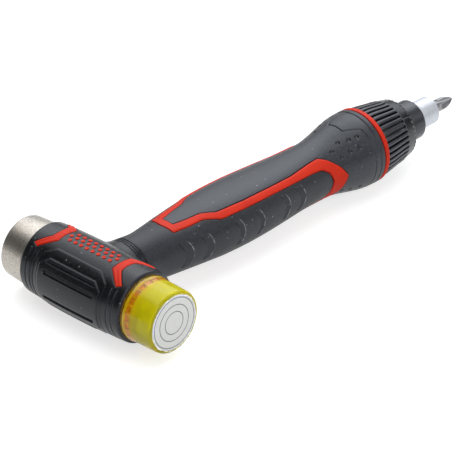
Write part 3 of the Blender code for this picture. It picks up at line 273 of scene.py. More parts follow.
# Bit: shank as distance and width across flats, neck and point as first row, last row and count
SHANK_ROWS = ((198.9, 5.9), (199.3, 6.35), (209.4, 6.35))
BIT_ROWS = ((210.0, 215.5, 8), (216.0, 223.85, 30))
BIT_COLUMNS = 96
BIT_RADIUS = 2.95
POINT_START = 215.5
POINT_LENGTH = 8.5
POINT_FULLNESS = 2.3
TIP_RADIUS = 0.25
FLUTE_START = 211.6
FLUTE_RUN = 6.0
FLUTE_DEPTH = 0.6
FLUTE_HOLLOW = 1.4
WING_TURN = 40.0

# Finishes; dust and the pale lips (wear, painted highlight) are drawn coarser than real, so that they show
# in the picture
FLECK_SPACING = 3.0
FLECK_RADIUS = 0.42
FLECK_CHANCE = 0.45
DUST = "c4c6cc"
# Wear and painted highlight on the lips: stretch of the handle, half width, patch size, noise range, fade
# over the squared height
WEAR_SHEEN_SPAN = (36.0, 116.0)
WEAR_SHEEN_WIDTH = 0.32
WEAR_SHEEN_PATCH = 2.5
WEAR_SHEEN_CLOUD = (0.4, 0.62)
WEAR_SHEEN_REACH = (1.1, 0.7)
# Pointiness where a paler edge (wear and painted highlight) begins and is full; noise range behind the
# roughness
EDGE_BEND = (0.505, 0.56)
ROUGH_CLOUD = (0.3, 0.7)
# Carbon black in the plastics gives their sheen a cool cast
COOL_SHEEN = "f1f6ff"

# Studio: camera in degrees and millimetres; its reach, the soft boxes and the floor in metres
CAMERA_TURN = 45.205
CAMERA_RISE = 30.433
CAMERA_ROLL = -0.726
CAMERA_PLACE = (1159.574, -1073.013, 954.254)
CAMERA_LENS = 347.07
CAMERA_SENSOR = 36.0
CAMERA_REACH = 20.0
# Soft boxes: place, size, power in watts, and tint where it isn't white
LIGHTS = {
    "key": ((-0.35, 0.25, 1.5), (2.2, 2.2), 32.0),
    "back": ((-0.95, 1.4, 1.25), (2.6, 1.5), 23.0, (0.93, 0.96, 1.0)),
    "side": ((1.3, 1.2, 1.0), (1.2, 1.2), 6.0),
    "fill": ((1.5, -0.5, 0.9), (1.2, 1.2), 14.0),
}
WORLD_LIGHT = 0.09
FLOOR_GLOW = 0.68
FLOOR_HALF = 6.0
FLOOR_TONES = (0.5, 0.54)
FLOOR_GRAIN = 2.5 * MM


# Surfaces of the head and the handle
def smooth_step(value):
    """Soft ramp from 0 to 1."""
    value = np.clip(value, 0.0, 1.0)
    return value * value * (3 - 2 * value)


def groove(distance, width):
    """Round-bottomed groove: 1 on its middle line, 0 beyond half the width."""
    return smooth_step(1 - np.abs(distance) / (width / 2))


def bend(share, start, pull, end):
    """Curve from a start to an end, drawn towards a third point."""
    return start * (1 - share) ** 2 + pull * 2 * share * (1 - share) + end * share ** 2


def spread(rows):
    """Places from (first, last, count) rows."""
    return np.concatenate([np.linspace(*row) for row in rows])


def station(table, at, column):
    """Smooth value between stations, with slopes taken from their neighbours."""
    x, y = table[:, 0], table[:, column]
    slope = np.gradient(y, x, edge_order=1)
    slope[1:-1] = (y[2:] - y[:-2]) / (x[2:] - x[:-2])
    low = np.clip(np.searchsorted(x, at) - 1, 0, len(x) - 2)
    span = x[low + 1] - x[low]
    share = np.clip((at - x[low]) / span, 0.0, 1.0)
    rest = 1 - share
    return (y[low] * (1 + 2 * share) * rest ** 2 + y[low + 1] * (3 - 2 * share) * share ** 2
            + span * share * rest * (slope[low] * rest - slope[low + 1] * share))


def handle_radius(y, angle):
    """Distance of the handle's surface from its axis; the angle is from the top line."""
    turn = np.radians(angle)
    power = station(HANDLE, y, 3)
    wide = np.abs(np.sin(turn)) / station(HANDLE, y, 1)
    high = np.abs(np.cos(turn)) / station(HANDLE, y, 2)
    return (wide ** power + high ** power) ** (-1 / power)


def ring_points(y, radius, angle):
    """Points round the handle's axis; the angle is from the top line towards +X."""
    turn = np.radians(angle)
    radius = radius + 0 * turn
    return np.stack((radius * np.sin(turn), y + 0 * radius, radius * np.cos(turn)), -1)


def handle_points(y, angle, lift):
    """Points on the handle, raised by the lift."""
    return ring_points(y, handle_radius(y, angle) + lift, angle)


def head_points(x, angle, radius):
    """Points round the head's axis; the angle is from the free end towards the top."""
    turn = np.radians(angle)
    return np.stack((x + 0 * radius, -radius * np.cos(turn), radius * np.sin(turn)), -1)


def barrel(x):
    """Radius of the plain head cover."""
    return CROWN - END_DROP * (x / HEAD_HALF) ** 2


def edge_angle(table, y):
    """Angle of a red band edge: straight across the front, its corners eased further back."""
    back = table[1:]
    steps = np.linspace(-CORNER_EASE, CORNER_EASE, 5)
    eased = np.mean([np.interp(y + step, back[:, 0], back[:, 1]) for step in steps], axis=0)
    return np.where(y < back[0, 0], np.interp(y, table[:, 0], table[:, 1]), eased)


def under_angle(angle):
    """Angle from the bottom line that answers to an angle from the top line: the underside is drawn in."""
    return angle * (UNDER_SHARE + (1 - UNDER_SHARE) * (angle / 90) ** UNDER_POWER)


def edge_stretch(table, y):
    """How much longer a step along the section is than the shortest way to the slanting edge."""
    y = np.maximum(y, table[1, 0] + EDGE_STEP)
    slope = (edge_angle(table, y + EDGE_STEP) - edge_angle(table, y - EDGE_STEP)) / (2 * EDGE_STEP)
    return np.sqrt(1 + (np.radians(slope) * MEAN_RADIUS) ** 2)


def seam_angle(table, y):
    """Half the seam beside a band edge, as an angle round the handle."""
    return np.degrees(SEAM / 2 * edge_stretch(table, y) / MEAN_RADIUS)


def fold(angle):
    """Angle from the nearer of the top and bottom lines, 0 to 90."""
    angle = np.abs((angle + 180) % 360 - 180)
    return np.minimum(angle, 180 - angle)


def near_line(along, arc, line_along, line_arc):
    """Distance to a line of straight pieces on an unrolled surface."""
    best = np.full(along.shape, np.inf)
    for x0, s0, x1, s1 in zip(line_along, line_arc, line_along[1:], line_arc[1:]):
        share = ((along - x0) * (x1 - x0) + (arc - s0) * (s1 - s0)) / ((x1 - x0) ** 2 + (s1 - s0) ** 2)
        share = np.clip(share, 0, 1)
        best = np.minimum(best, np.hypot(along - x0 - share * (x1 - x0), arc - s0 - share * (s1 - s0)))
    return best


# Meshes
def skin(rings, closed=False, caps=True):
    """Points and faces of a loft through rings of equal length."""
    rings = np.asarray(rings, dtype=float)
    rows, columns = rings.shape[:2]
    index = np.arange(rows * columns).reshape(rows, columns)
    first = index if closed else index[:-1]
    after = np.roll(index, -1, 0) if closed else index[1:]
    faces = np.stack((first, np.roll(first, -1, 1), np.roll(after, -1, 1), after), -1)
    faces = faces.reshape(-1, 4).tolist()
    if caps and not closed:
        faces.append(index[0][::-1].tolist())
        faces.append(index[-1].tolist())
    return rings.reshape(-1, 3), faces


def soften(profile, steps=6):
    """Profile of (distance, radius, rounding) points with its corners rounded."""
    points = []
    for index, (*place, rounding) in enumerate(profile):
        corner = np.array(place)
        if rounding == 0:
            points.append(corner)
            continue
        ends = []
        for other in (profile[index - 1], profile[(index + 1) % len(profile)]):
            way = np.array(other[:2]) - corner
            ends.append(corner + way / np.linalg.norm(way) * rounding)
        points += [bend(share, ends[0], corner, ends[1]) for share in np.linspace(0, 1, steps)]
    return np.array(points)


def turned(profile, along, columns=96, closed=False):
    """A turned piece from (distance, radius) points, about X or Y; no ring shrinks to a point."""
    turn = np.linspace(0, 2 * math.pi, columns, endpoint=False)
    distance, radius = np.asarray(profile, dtype=float).T
    radius = np.maximum(radius, LEAST_RADIUS)
    level = np.repeat(distance[:, None], columns, 1)
    across, up = np.outer(radius, np.sin(turn)), np.outer(radius, np.cos(turn))
    order = (level, across, up) if along == "X" else (across, level, up)
    return skin(np.stack(order, -1), closed)


def add_object(name, data):
    """Make an object of the scene from its data."""
    made = bpy.data.objects.new(name, data)
    bpy.context.scene.collection.objects.link(made)
    return made


def put(name, shells, finish, body, slot, *nodes, sharp=38):
    """Make one piece from its shells, on the body it moves with."""
    points, faces, start = [], [], 0
    for shell_points, shell_faces in shells:
        points.append(shell_points)
        faces += [[start + corner for corner in face] for face in shell_faces]
        start += len(shell_points)
    mesh = bpy.data.meshes.new(name)
    mesh.from_pydata((CROSSING + MM * np.concatenate(points)).tolist(), [], faces)
    shape = bmesh.new()
    shape.from_mesh(mesh)
    bmesh.ops.recalc_face_normals(shape, faces=shape.faces)
    shape.to_mesh(mesh)
    shape.free()
    mesh.shade_smooth()
    mesh.set_sharp_from_angle(angle=math.radians(sharp))
    mesh.materials.append(finish)
    made = add_object(name, mesh)
    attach(made, body)
    if nodes:
        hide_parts(*nodes)


def put_turned(name, profile, along, closed, *rest):
    """Make one turned piece from a profile with its corners rounded."""
    put(name, [turned(soften(profile), along, LATHE_COLUMNS, closed)], *rest)


# Materials
def linear(code):
    """Linear colour of an sRGB hex code."""
    values = [int(code[index:index + 2], 16) / 255 for index in (0, 2, 4)]
    return [v / 12.92 if v <= 0.04045 else ((v + 0.055) / 1.055) ** 2.4 for v in values] + [1.0]


def node(tree, kind, inputs=None, **settings):
    """Add a shader node; an input takes a value, an output, or a node for its first output."""
    made = tree.nodes.new("ShaderNode" + kind)
    for key, value in settings.items():
        setattr(made, key, value)
    for key, value in (inputs or {}).items():
        if isinstance(value, bpy.types.Node):
            value = value.outputs[0]
        if isinstance(value, bpy.types.NodeSocket):
            tree.links.new(value, made.inputs[key])
        else:
            made.inputs[key].default_value = value
    return made


def surface(name, tones, patch, rough, grain, depth, contrast=0.2, stretch=(1, 1, 1), edge=None, fleck=None,
            **fixed):
    """Material that drifts between two tones over patches, with a fine raised grain.

    Patch, grain and depth are millimetres; rough is the roughness on the darker and lighter patches.
    A lower contrast sharpens the change of tone. Edge is the tone of convex edges found by pointiness,
    part abrasion and part painted highlight; fleck is that of specks of dust. Grain that is finer than
    the picture can show is drawn coarser.
    """
    made = bpy.data.materials.new(name)
    made.use_nodes = True
    tree = made.node_tree
    shader = tree.nodes["Principled BSDF"]
    place = node(tree, "TexCoord").outputs["Object"]
    place = node(tree, "Mapping", {"Vector": place, "Scale": stretch})
    drift = node(tree, "TexNoise", {"Vector": place, "Scale": 1 / (patch * MM), "Detail": 4.0})
    colour = node(tree, "ValToRGB", {"Fac": drift})
    for stop, tone, side in zip(colour.color_ramp.elements, tones, (-1, 1)):
        stop.color = linear(tone)
        stop.position = 0.5 + side * contrast
    # Convex edges painted paler: part wear, part painted highlight
    if edge:
        bent = node(tree, "NewGeometry").outputs["Pointiness"]
        edge_wear_and_highlight = node(tree, "MapRange", {"Value": bent, "From Min": EDGE_BEND[0], "From Max": EDGE_BEND[1]})
        colour = node(tree, "MixRGB", {"Fac": edge_wear_and_highlight, "Color1": colour, "Color2": linear(edge)})
    if fleck:
        cells = node(tree, "TexVoronoi", {"Vector": place, "Scale": 1 / (FLECK_SPACING * MM)})
        chance = node(tree, "MapRange", {"Value": cells.outputs["Color"], "From Min": FLECK_CHANCE})
        near = node(tree, "MapRange", {
            "Value": cells.outputs["Distance"], "From Min": FLECK_RADIUS / FLECK_SPACING, "From Max": 0.0,
            "To Max": chance})
        colour = node(tree, "MixRGB", {"Fac": near, "Color1": colour, "Color2": linear(fleck)})
    tree.links.new(colour.outputs["Color"], shader.inputs["Base Color"])
    gloss = node(tree, "MapRange", {
        "Value": drift, "From Min": ROUGH_CLOUD[0], "From Max": ROUGH_CLOUD[1], "To Min": rough[0],
        "To Max": rough[1]})
    tree.links.new(gloss.outputs["Result"], shader.inputs["Roughness"])
    fine = node(tree, "TexNoise", {"Vector": place, "Scale": 1 / (grain * MM), "Detail": 3.0})
    bump = node(tree, "Bump", {"Height": fine, "Distance": depth * MM})
    tree.links.new(bump.outputs["Normal"], shader.inputs["Normal"])
    for key, value in fixed.items():
        shader.inputs[key.replace("_", " ").title().replace("Ior", "IOR")].default_value = value
    return made


def make_metals():
    """Finishes of the metal pieces, named for the metal and how it is made."""
    made = {}
    # Zinc-plated steel: small grey crystals side by side, so it looks mottled; drawn coarser than real
    made["satin_steel"] = surface(
        "zinc_plated_steel_turned", ("928d86", "c4beb5"), patch=0.5, rough=(0.46, 0.34), grain=0.5,
        depth=0.01, contrast=0.18, metallic=1.0)
    # Hardened steel: dark and even, slightly cloudy
    made["hardened_steel"] = surface(
        "hardened_steel_ground", ("5d5e60", "77787a"), patch=3.0, rough=(0.35, 0.5), grain=0.3, depth=0.006,
        metallic=1.0)
    # Spring steel: bluish, with small bright and dull places from rolling
    made["spring_steel"] = surface(
        "spring_steel_rolled", ("8b8e93", "a4a7ab"), patch=1.0, rough=(0.25, 0.35), grain=0.2, depth=0.004,
        metallic=1.0)
    # Nickel-chromed sleeve: bright with fine turning lines round it
    made["chromed_steel"] = surface(
        "chromed_steel_turned", ("b9bdc4", "cacdd3"), patch=0.7, rough=(0.5, 0.6), grain=0.25, depth=0.004,
        stretch=(0.2, 1.0, 0.2), metallic=1.0)
    # Phosphated bit: dull grey with a grainy coat
    made["bit_steel"] = surface(
        "tool_steel_phosphated", ("6c6c70", "9a9a9c"), patch=0.8, rough=(0.3, 0.44), grain=0.25, depth=0.01,
        metallic=1.0)
    # Die-cast zinc: pale grey skin with flow marks
    made["cast_metal"] = surface(
        "zinc_die_cast", ("8e8f91", "a3a4a6"), patch=5.0, rough=(0.4, 0.55), grain=0.6, depth=0.02,
        metallic=1.0)
    return made


def make_plastics():
    """Finishes of the plastic pieces and the label, named for the material and how it is made."""
    made = {}
    sheen = linear(COOL_SHEEN)
    # Soft moulded elastomer of the head: near black, broad soft sheen, edges paler from wear and a painted
    # highlight
    made["black_soft_plastic"] = surface(
        "elastomer_moulded_matt", ("050607", "14161a"), patch=0.9, rough=(0.26, 0.38), grain=0.6,
        depth=0.04, edge="3a3d46", fleck=DUST, ior=1.42, specular_tint=sheen)
    made["grip"] = worn_and_highlit_grip(sheen)
    # Hard moulded plastic of the selector and nose: satin, with paler edges, part wear and part painted
    # highlight
    made["black_hard_plastic"] = surface(
        "nylon_moulded_satin", ("0a0b0d", "101114"), patch=5.0, rough=(0.26, 0.34), grain=0.35, depth=0.012,
        edge="4a4d55", ior=1.53, specular_tint=sheen)
    # Handle body: dark grey with a fine leather-like grain that spreads the light
    made["dark_grey_plastic"] = surface(
        "polypropylene_moulded_grained", ("101216", "2c2f36"), patch=0.9, rough=(0.36, 0.48), grain=0.8,
        depth=0.1, fleck=DUST, ior=1.52, specular_tint=sheen)
    # Bottoms of the dimples: the mould was polished there, so they glint
    made["polished_plastic"] = surface(
        "polypropylene_moulded_polished", ("16171b", "1f2125"), patch=2.0, rough=(0.06, 0.12), grain=0.5,
        depth=0.004, ior=1.52)
    # Red moulding: strong colour, half-gloss
    made["red_plastic"] = surface(
        "polypropylene_moulded_red", ("c02000", "cc2803"), patch=7.0, rough=(0.54, 0.62), grain=0.5,
        depth=0.012, ior=1.4, specular_ior_level=0.35)
    made["clear_yellow_plastic"] = clear_plastic()
    # Amber insert seen through the yellow: warm and even, its ridges painted paler as a highlight
    made["amber_plastic"] = surface(
        "cellulose_acetate_moulded_amber", ("f49c10", "ffae1a"), patch=4.0, rough=(0.25, 0.35), grain=0.6,
        depth=0.01, edge="ffdc40", ior=1.48)
    made["white_paper"] = paper_label()
    return made


def reopen(made):
    """A made material's node tree and shader, its colour so far and the place of each point."""
    tree = made.node_tree
    shader = tree.nodes["Principled BSDF"]
    colour = shader.inputs["Base Color"].links[0].from_socket
    return tree, shader, colour, node(tree, "TexCoord").outputs["Object"]


def worn_and_highlit_grip(sheen):
    """Stippled elastomer, duller than the head; its finger grooves' lips paler in patches: abrasion and
    painted highlight.
    """
    made = surface(
        "elastomer_moulded_stippled", ("0a0b0e", "24262c"), patch=1.0, rough=(0.4, 0.58), grain=0.8,
        depth=0.12, fleck=DUST, ior=1.48, specular_tint=sheen)
    tree, shader, black, place = reopen(made)
    part = node(tree, "SeparateXYZ", {"Vector": place})
    middle, half, bow = CROSSING[2] + MM * GROOVE_MIDDLE, MM * GROOVE_HALF, MM * GROOVE_BOW
    rise = node(tree, "Math", {0: part.outputs["Z"], 1: middle}, operation="SUBTRACT")
    rise = node(tree, "Math", {0: rise, 1: half}, operation="DIVIDE")
    square = node(tree, "Math", {0: rise, 1: rise}, operation="MULTIPLY")
    along = node(tree, "Math", {0: square, 1: bow, 2: part.outputs["Y"]}, operation="MULTIPLY_ADD")
    start, end = (CROSSING[1] + MM * at + bow for at in WEAR_SHEEN_SPAN)
    along = node(tree, "MapRange", {"Value": along, "From Min": start, "From Max": end})
    lips = node(tree, "ValToRGB", {"Fac": along})
    stops = lips.color_ramp.elements
    stops[1].color = stops[0].color = (0.0, 0.0, 0.0, 1.0)
    for _, lip in GROOVES:
        for step, shade in ((-WEAR_SHEEN_WIDTH, 0.0), (0.0, 1.0), (WEAR_SHEEN_WIDTH, 0.0)):
            stop = stops.new((lip + step - WEAR_SHEEN_SPAN[0]) / (WEAR_SHEEN_SPAN[1] - WEAR_SHEEN_SPAN[0]))
            stop.color = (shade, shade, shade, 1.0)
    patches = node(tree, "TexNoise", {"Vector": place, "Scale": 1 / (WEAR_SHEEN_PATCH * MM), "Detail": 3.0})
    inside = node(tree, "MapRange", {"Value": square, "From Min": WEAR_SHEEN_REACH[0], "From Max": WEAR_SHEEN_REACH[1]})
    rubbed_and_lit = node(tree, "MapRange", {
        "Value": patches, "From Min": WEAR_SHEEN_CLOUD[0], "From Max": WEAR_SHEEN_CLOUD[1], "To Max": inside})
    # Pale lips: patchy wear plus a painted highlight along the groove edges
    wear_and_highlight = node(tree, "Math", {0: lips, 1: rubbed_and_lit}, operation="MULTIPLY")
    worn_and_highlit = node(tree, "MixRGB", {"Fac": wear_and_highlight, "Color1": black, "Color2": linear("9a9ca2")})
    tree.links.new(worn_and_highlit.outputs["Color"], shader.inputs["Base Color"])
    return made


def clear_plastic():
    """Cast clear plastic: the thin wall over the insert is clear and pale, the thick front glows yellow."""
    made = surface(
        "cellulose_acetate_cast_yellow", ("dcd408", "e6de10"), patch=9.0, rough=(0.14, 0.2), grain=0.8,
        depth=0.006, ior=1.42, specular_ior_level=0.12, subsurface_weight=1.0,
        subsurface_radius=GLOW_REACH, subsurface_scale=MM)
    tree, shader, deep, place = reopen(made)
    along = node(tree, "SeparateXYZ", {"Vector": place}).outputs["X"]
    start, end = (CROSSING[0] + MM * at for at in THIN_WALL)
    thick = node(tree, "MapRange", {"Value": along, "From Min": start, "From Max": end})
    mixed = node(tree, "MixRGB", {"Fac": thick, "Color1": linear("f6ea30"), "Color2": deep})
    tree.links.new(mixed.outputs["Color"], shader.inputs["Base Color"])
    clear = node(tree, "MapRange", {
        "Value": along, "From Min": start, "From Max": end, "To Min": THIN_CLEAR, "To Max": THICK_CLEAR})
    tree.links.new(clear.outputs["Result"], shader.inputs["Transmission Weight"])
    return made


def paper_label():
    """Coated paper with plain printed rings: even white, faint fibres, a few thin grey circles."""
    made = surface(
        "paper_coated_white", ("dfe0dd", "e6e7e4"), patch=1.5, rough=(0.5, 0.6), grain=0.25, depth=0.004,
        ior=1.5)
    tree, shader, white, place = reopen(made)
    scale = 1 / (LABEL_RADIUS * MM)
    centre = [-value * scale for value in CROSSING]
    place = node(tree, "Mapping", {
        "Vector": place, "Location": (0.0, centre[1], centre[2]), "Scale": (0.0, scale, scale)})
    inward = node(tree, "TexGradient", {"Vector": place}, gradient_type="SPHERICAL")
    ink = node(tree, "ValToRGB", {"Fac": inward.outputs["Fac"]})
    ink.color_ramp.interpolation = "CONSTANT"
    stops = ink.color_ramp.elements
    stops[0].color = stops[1].color = (0.0, 0.0, 0.0, 1.0)
    stops[1].position = 0.999
    for radius in LABEL_RINGS:
        for edge, shade in ((radius + LABEL_LINE / 2, 1.0), (radius - LABEL_LINE / 2, 0.0)):
            stop = stops.new(1 - edge / LABEL_RADIUS)
            stop.color = (shade, shade, shade, 1.0)
    printed = node(tree, "MixRGB", {"Fac": ink, "Color1": white, "Color2": linear("7c7e80")})
    tree.links.new(printed.outputs["Color"], shader.inputs["Base Color"])
    return made


# Head
def bracket_edges(end):
    """Inner and outer edge of one bracket as (x, angle from the top line) points, tip to tip."""
    turns = np.concatenate((np.linspace(0, 1, 6)[:-1], np.linspace(1, 2, 14)))
    half = np.stack([np.interp(turns, range(len(BRACKET)), column) for column in BRACKET.T], -1)
    other = half[:0:-1] * (1, -1, 1, -1)
    full = np.concatenate((other, half))
    return end * full[:, 0], full[:, 1], end * full[:, 2], full[:, 3]


def pad_height(x, arc, rows, rise, bevel):
    """Height of a raised pad with a slanting rim: full inside its outline, nothing outside."""
    outline = [(half, CROWN * math.radians(angle)) for half, angle in rows] + [(rows[-1][0], 0.0)]
    outside = np.abs(arc) - outline[0][1]
    for (x0, s0), (x1, s1) in zip(outline, outline[1:]):
        length = math.hypot(x1 - x0, s1 - s0)
        across = (np.abs(x) - x0) * (s0 - s1) / length + (np.abs(arc) - s0) * (x1 - x0) / length
        outside = np.maximum(outside, across)
    return rise * smooth_step(-outside / bevel)


def cover_radius(x, angle):
    """Radius of the finished cover: pads, slots, ring lines and the seats of the brackets."""
    arc = CROWN * np.radians(angle)
    short = np.clip(COVER_EDGE - (HEAD_HALF - np.abs(x)), 0, COVER_EDGE)
    radius = barrel(x) - COVER_EDGE + np.sqrt(COVER_EDGE ** 2 - short ** 2)
    radius += pad_height(x, arc, OUTER_PAD, OUTER_RISE, OUTER_BEVEL)
    radius += pad_height(x, arc, INNER_PAD, INNER_RISE - OUTER_RISE, INNER_BEVEL)
    for place, width, depth in SLOTS:
        for side in (1, -1):
            across = np.hypot(arc - side * CROWN * math.radians(place), np.maximum(np.abs(x) - SLOT_HALF, 0))
            radius -= depth * smooth_step((width / 2 - across) / SLOT_WALL + 0.5)
    lined = smooth_step((RING_END - np.abs(angle)) / RING_FADE)
    lined = lined * (pad_height(x, arc, OUTER_PAD, 1, OUTER_BEVEL) < 0.5)
    for place in RING_LINES:
        radius -= RING_DEPTH * groove(x - place, RING_WIDTH) * lined
    for end in (1, -1):
        inner_x, inner, outer_x, outer = bracket_edges(end)
        line_x = np.concatenate((inner_x, outer_x[::-1], inner_x[:1]))
        line = np.concatenate((inner, outer[::-1], inner[:1]))
        for side in (1, -1):
            seat = near_line(x, arc, line_x, CROWN * np.radians(side * (90 - line)))
            radius -= SEAT_DEPTH * groove(seat, SEAT_WIDTH)
    return radius


def neck_collar():
    """Flare from the head to the handle, with three fine ring steps."""
    angle = np.linspace(0, 360, NECK_COLUMNS, endpoint=False)
    turn = np.radians(angle)
    meet = barrel(NECK_ROOT * np.sin(turn)) ** 2 - (NECK_ROOT * np.cos(turn)) ** 2
    meet = np.sqrt(np.maximum(meet, 0)) - NECK_SINK
    share = np.linspace(0, 1, NECK_ROWS)[:, None]
    radius = bend(share, NECK_RADIUS, NECK_WAIST, NECK_ROOT)
    y = bend(share, NECK_FRONT, meet + NECK_FLARE, meet)
    for place in NECK_LINES:
        radius = radius - NECK_LINE_DEPTH * groove(y - place, NECK_LINE_WIDTH)
    bore = ring_points(NECK_FRONT, NECK_BORE, angle)
    return skin(np.concatenate((bore[None], ring_points(y, radius, angle))), caps=False)


def make_head_cover(finish):
    """Black cover: barrel with its raised and sunk forms, an open bore and the neck."""
    ease = COVER_EDGE * (1 - np.cos(np.linspace(0, math.pi / 2, EDGE_ROWS)))[:-1]
    straight = np.linspace(-HEAD_HALF + COVER_EDGE, HEAD_HALF - COVER_EDGE, COVER_ROWS)
    x = np.concatenate((-HEAD_HALF + ease, straight, HEAD_HALF - ease[::-1]))
    angle = np.linspace(-180, 180, COVER_COLUMNS, endpoint=False)
    bore = np.full(COVER_COLUMNS, COVER_BORE)
    back, front = (head_points(end, angle, bore)[None] for end in (-HEAD_HALF, HEAD_HALF))
    x, angle = np.meshgrid(x, angle, indexing="ij")
    rings = np.concatenate((back, head_points(x, angle, cover_radius(x, angle)), front))
    put("head_cover_moulding", [skin(rings, closed=True), neck_collar()], finish, "handle",
        "black_soft_plastic", "head_cover")


def bracket_shell(end, side, rise):
    """One red bracket: rounded long edges and a sunk middle line, rooted below the cover."""
    share = np.linspace(0, 1, BRACKET_COLUMNS)
    off = np.abs(2 * share - 1)
    lift = 1 - np.clip((off - BRACKET_FLAT) / (1 - BRACKET_FLAT), 0, 1) ** 2
    lift = lift - BRACKET_SINK * (off < BRACKET_SUNK)
    share = np.concatenate(((0,), share, (1,)))
    height = np.concatenate(((BRACKET_ROOT,), rise * lift, (BRACKET_ROOT,)))
    inner_x, inner, outer_x, outer = (values[:, None] for values in bracket_edges(end))
    x = inner_x + (outer_x - inner_x) * share
    angle = side - (inner + (outer - inner) * share)
    return skin(head_points(x, angle, barrel(x) + height))


def pip_shell(place, middle):
    """One red pip with a dished top, at its place along the head and its angle round it."""
    spin = np.radians(np.linspace(0, 360, PIP_COLUMNS, endpoint=False))
    out, rise = PIP_RADIUS * PIP_SECTION[:, :1], PIP_SECTION[:, 1:]
    x = place + out * np.cos(spin)
    angle = middle - np.degrees(out * np.sin(spin) / CROWN)
    return skin(head_points(x, angle, barrel(x) + rise))


def make_head_red(finish):
    """Red under-layer with its four brackets and the rows of pips."""
    half = HEAD_HALF
    layer = ((half, RED_OUTER), (-half, RED_OUTER), (-half, RED_INNER), (half, RED_INNER))
    shells = [turned(layer, "X", closed=True)]
    for end in (1, -1):
        shells += [bracket_shell(end, side, rise) for side, rise in ((90, BRACKET_RISE), (-90, UNDER_RISE))]
    for side in (90, -90):
        for row, count in PIP_ROWS:
            places = PIP_PITCH * (np.arange(count) - (count - 1) / 2)
            shells += [pip_shell(place, side - row) for place in places]
    put("head_red_moulding", shells, finish, "handle", "red_plastic", "head_red_layer")


def make_steel_face(finish):
    """Turned steel face with its stud."""
    put_turned("steel_face_turned", STEEL_PROFILE, "X", False, finish, "hard_face", "satin_steel",
               "steel_face")


def make_soft_face(finish):
    """Clear yellow face: a thick front with a round edge, and a cup at its back."""
    put_turned("soft_face_cast", CLEAR_PROFILE, "X", False, finish, "plastic_face", "clear_yellow_plastic",
               "soft_face")


def make_insert(finish):
    """Amber insert: stud, flange and a ring of notches between narrow ridges, set into the yellow."""
    spin = np.radians(np.linspace(0, 360, TOOTH_COLUMNS * INSERT_TEETH, endpoint=False))
    tooth = smooth_step(TOOTH_SLOPE * np.cos(INSERT_TEETH * spin) - TOOTH_CUT)
    rings = []
    for x, rim, notch in INSERT_PROFILE:
        radius = rim - NOTCH_DEPTH * notch * (1 - tooth)
        rings.append(np.stack((x + 0 * spin, radius * np.cos(spin), radius * np.sin(spin)), -1))
    put("insert_moulding", [skin(rings)], finish, "plastic_face", "amber_plastic", "soft_face_insert")


def make_label(finish):
    """Round paper label on the yellow face."""
    put_turned("label_disc", LABEL_PROFILE, "X", False, finish, "plastic_face", "white_paper", "face_label")


# Handle
def strip(y, start, end, columns, height):
    """A moulded strip of the handle between two edge angles, with a thin wall below it."""
    y = y[:, None]
    start, span = start[:, None], (end - start)[:, None]
    angle = start + span * np.linspace(0, 1, columns)
    back = start + span * np.linspace(1, 0, WALL_COLUMNS)
    outer = handle_points(y, angle, height(y, angle))
    return skin(np.concatenate((outer, handle_points(y, back, -WALL)), 1))


def rim_dip(y, angle, table, sign):
    """Rounding towards the seam along a band edge; sign is +1 where the piece has the larger angles."""
    edge = edge_angle(table, y)
    edge = np.where(np.cos(np.radians(angle)) < 0, under_angle(edge), edge)
    away = sign * np.radians(fold(angle) - edge) * handle_radius(y, angle)
    away = away / edge_stretch(table, y) - SEAM / 2
    return -RIM_DEPTH * smooth_step(1 - away / RIM_WIDTH) ** 2


def grip_height(y, angle):
    """Side grip: curved finger grooves that drop at the back and ramp up to a small lip, eased rim."""
    radius = handle_radius(y, angle)
    z = radius * np.cos(np.radians(angle)) - GROOVE_MIDDLE
    bow = GROOVE_BOW * (1 - (z / GROOVE_HALF) ** 2)
    inside = smooth_step(GROOVE_HALF + GROOVE_FADE - np.abs(z))
    height = 0 * radius
    for start, end in GROOVES:
        along = y - bow - start
        ramp = (1 - np.clip(along / (end - start), 0, 1)) ** GROOVE_HOLLOW
        height = height - GROOVE_DEPTH * ramp * smooth_step(along / GROOVE_WALL + 0.5) * inside
        height = height + LIP_RISE * groove(along - end + start, LIP_WIDTH) * inside
    rim = rim_dip(y, angle, GRIP_EDGE, 1)
    return height + np.where(y < GRIP_EDGE[0, 0] - SEAM, 0.0, rim)


def body_height(y, angle):
    """Panel and bulge: eased rim, sunk line, dimples and a ring groove."""
    near = np.radians(fold(angle))
    line = np.radians(EMBOSS[:, 1]) * EMBOSS_ARC
    away = near_line(y + 0 * near, near * EMBOSS_ARC, EMBOSS[:, 0], line)
    height = -EMBOSS_DEPTH * groove(away, EMBOSS_WIDTH)
    for along, place in DIMPLES:
        span = np.hypot(y - along, (near - math.radians(place)) * DIMPLE_ARC)
        height = height - DIMPLE_DEPTH * smooth_step((DIMPLE_RADIUS - span) / DIMPLE_WALL)
    height = height - BULGE_LINE_DEPTH * groove(y - BULGE_LINE, BULGE_LINE_WIDTH)
    height = height - BULGE_EDGE_DEPTH * smooth_step((y - BULGE_EDGE) / BULGE_EDGE_WIDTH) ** 2
    rim = rim_dip(y, angle, PANEL_EDGE, -1)
    return height + np.where(y < PANEL_RIM_END, rim, 0.0)


def band_height(y, angle):
    """Red band: eased along both edges, where there is an edge."""
    outer = np.where(y < BAND_RIM_END, rim_dip(y, angle, GRIP_EDGE, -1), 0.0)
    inner = np.where(y > PANEL_EDGE[0, 0], rim_dip(y, angle, PANEL_EDGE, 1), 0.0)
    return BAND_RISE + np.minimum(outer, inner)


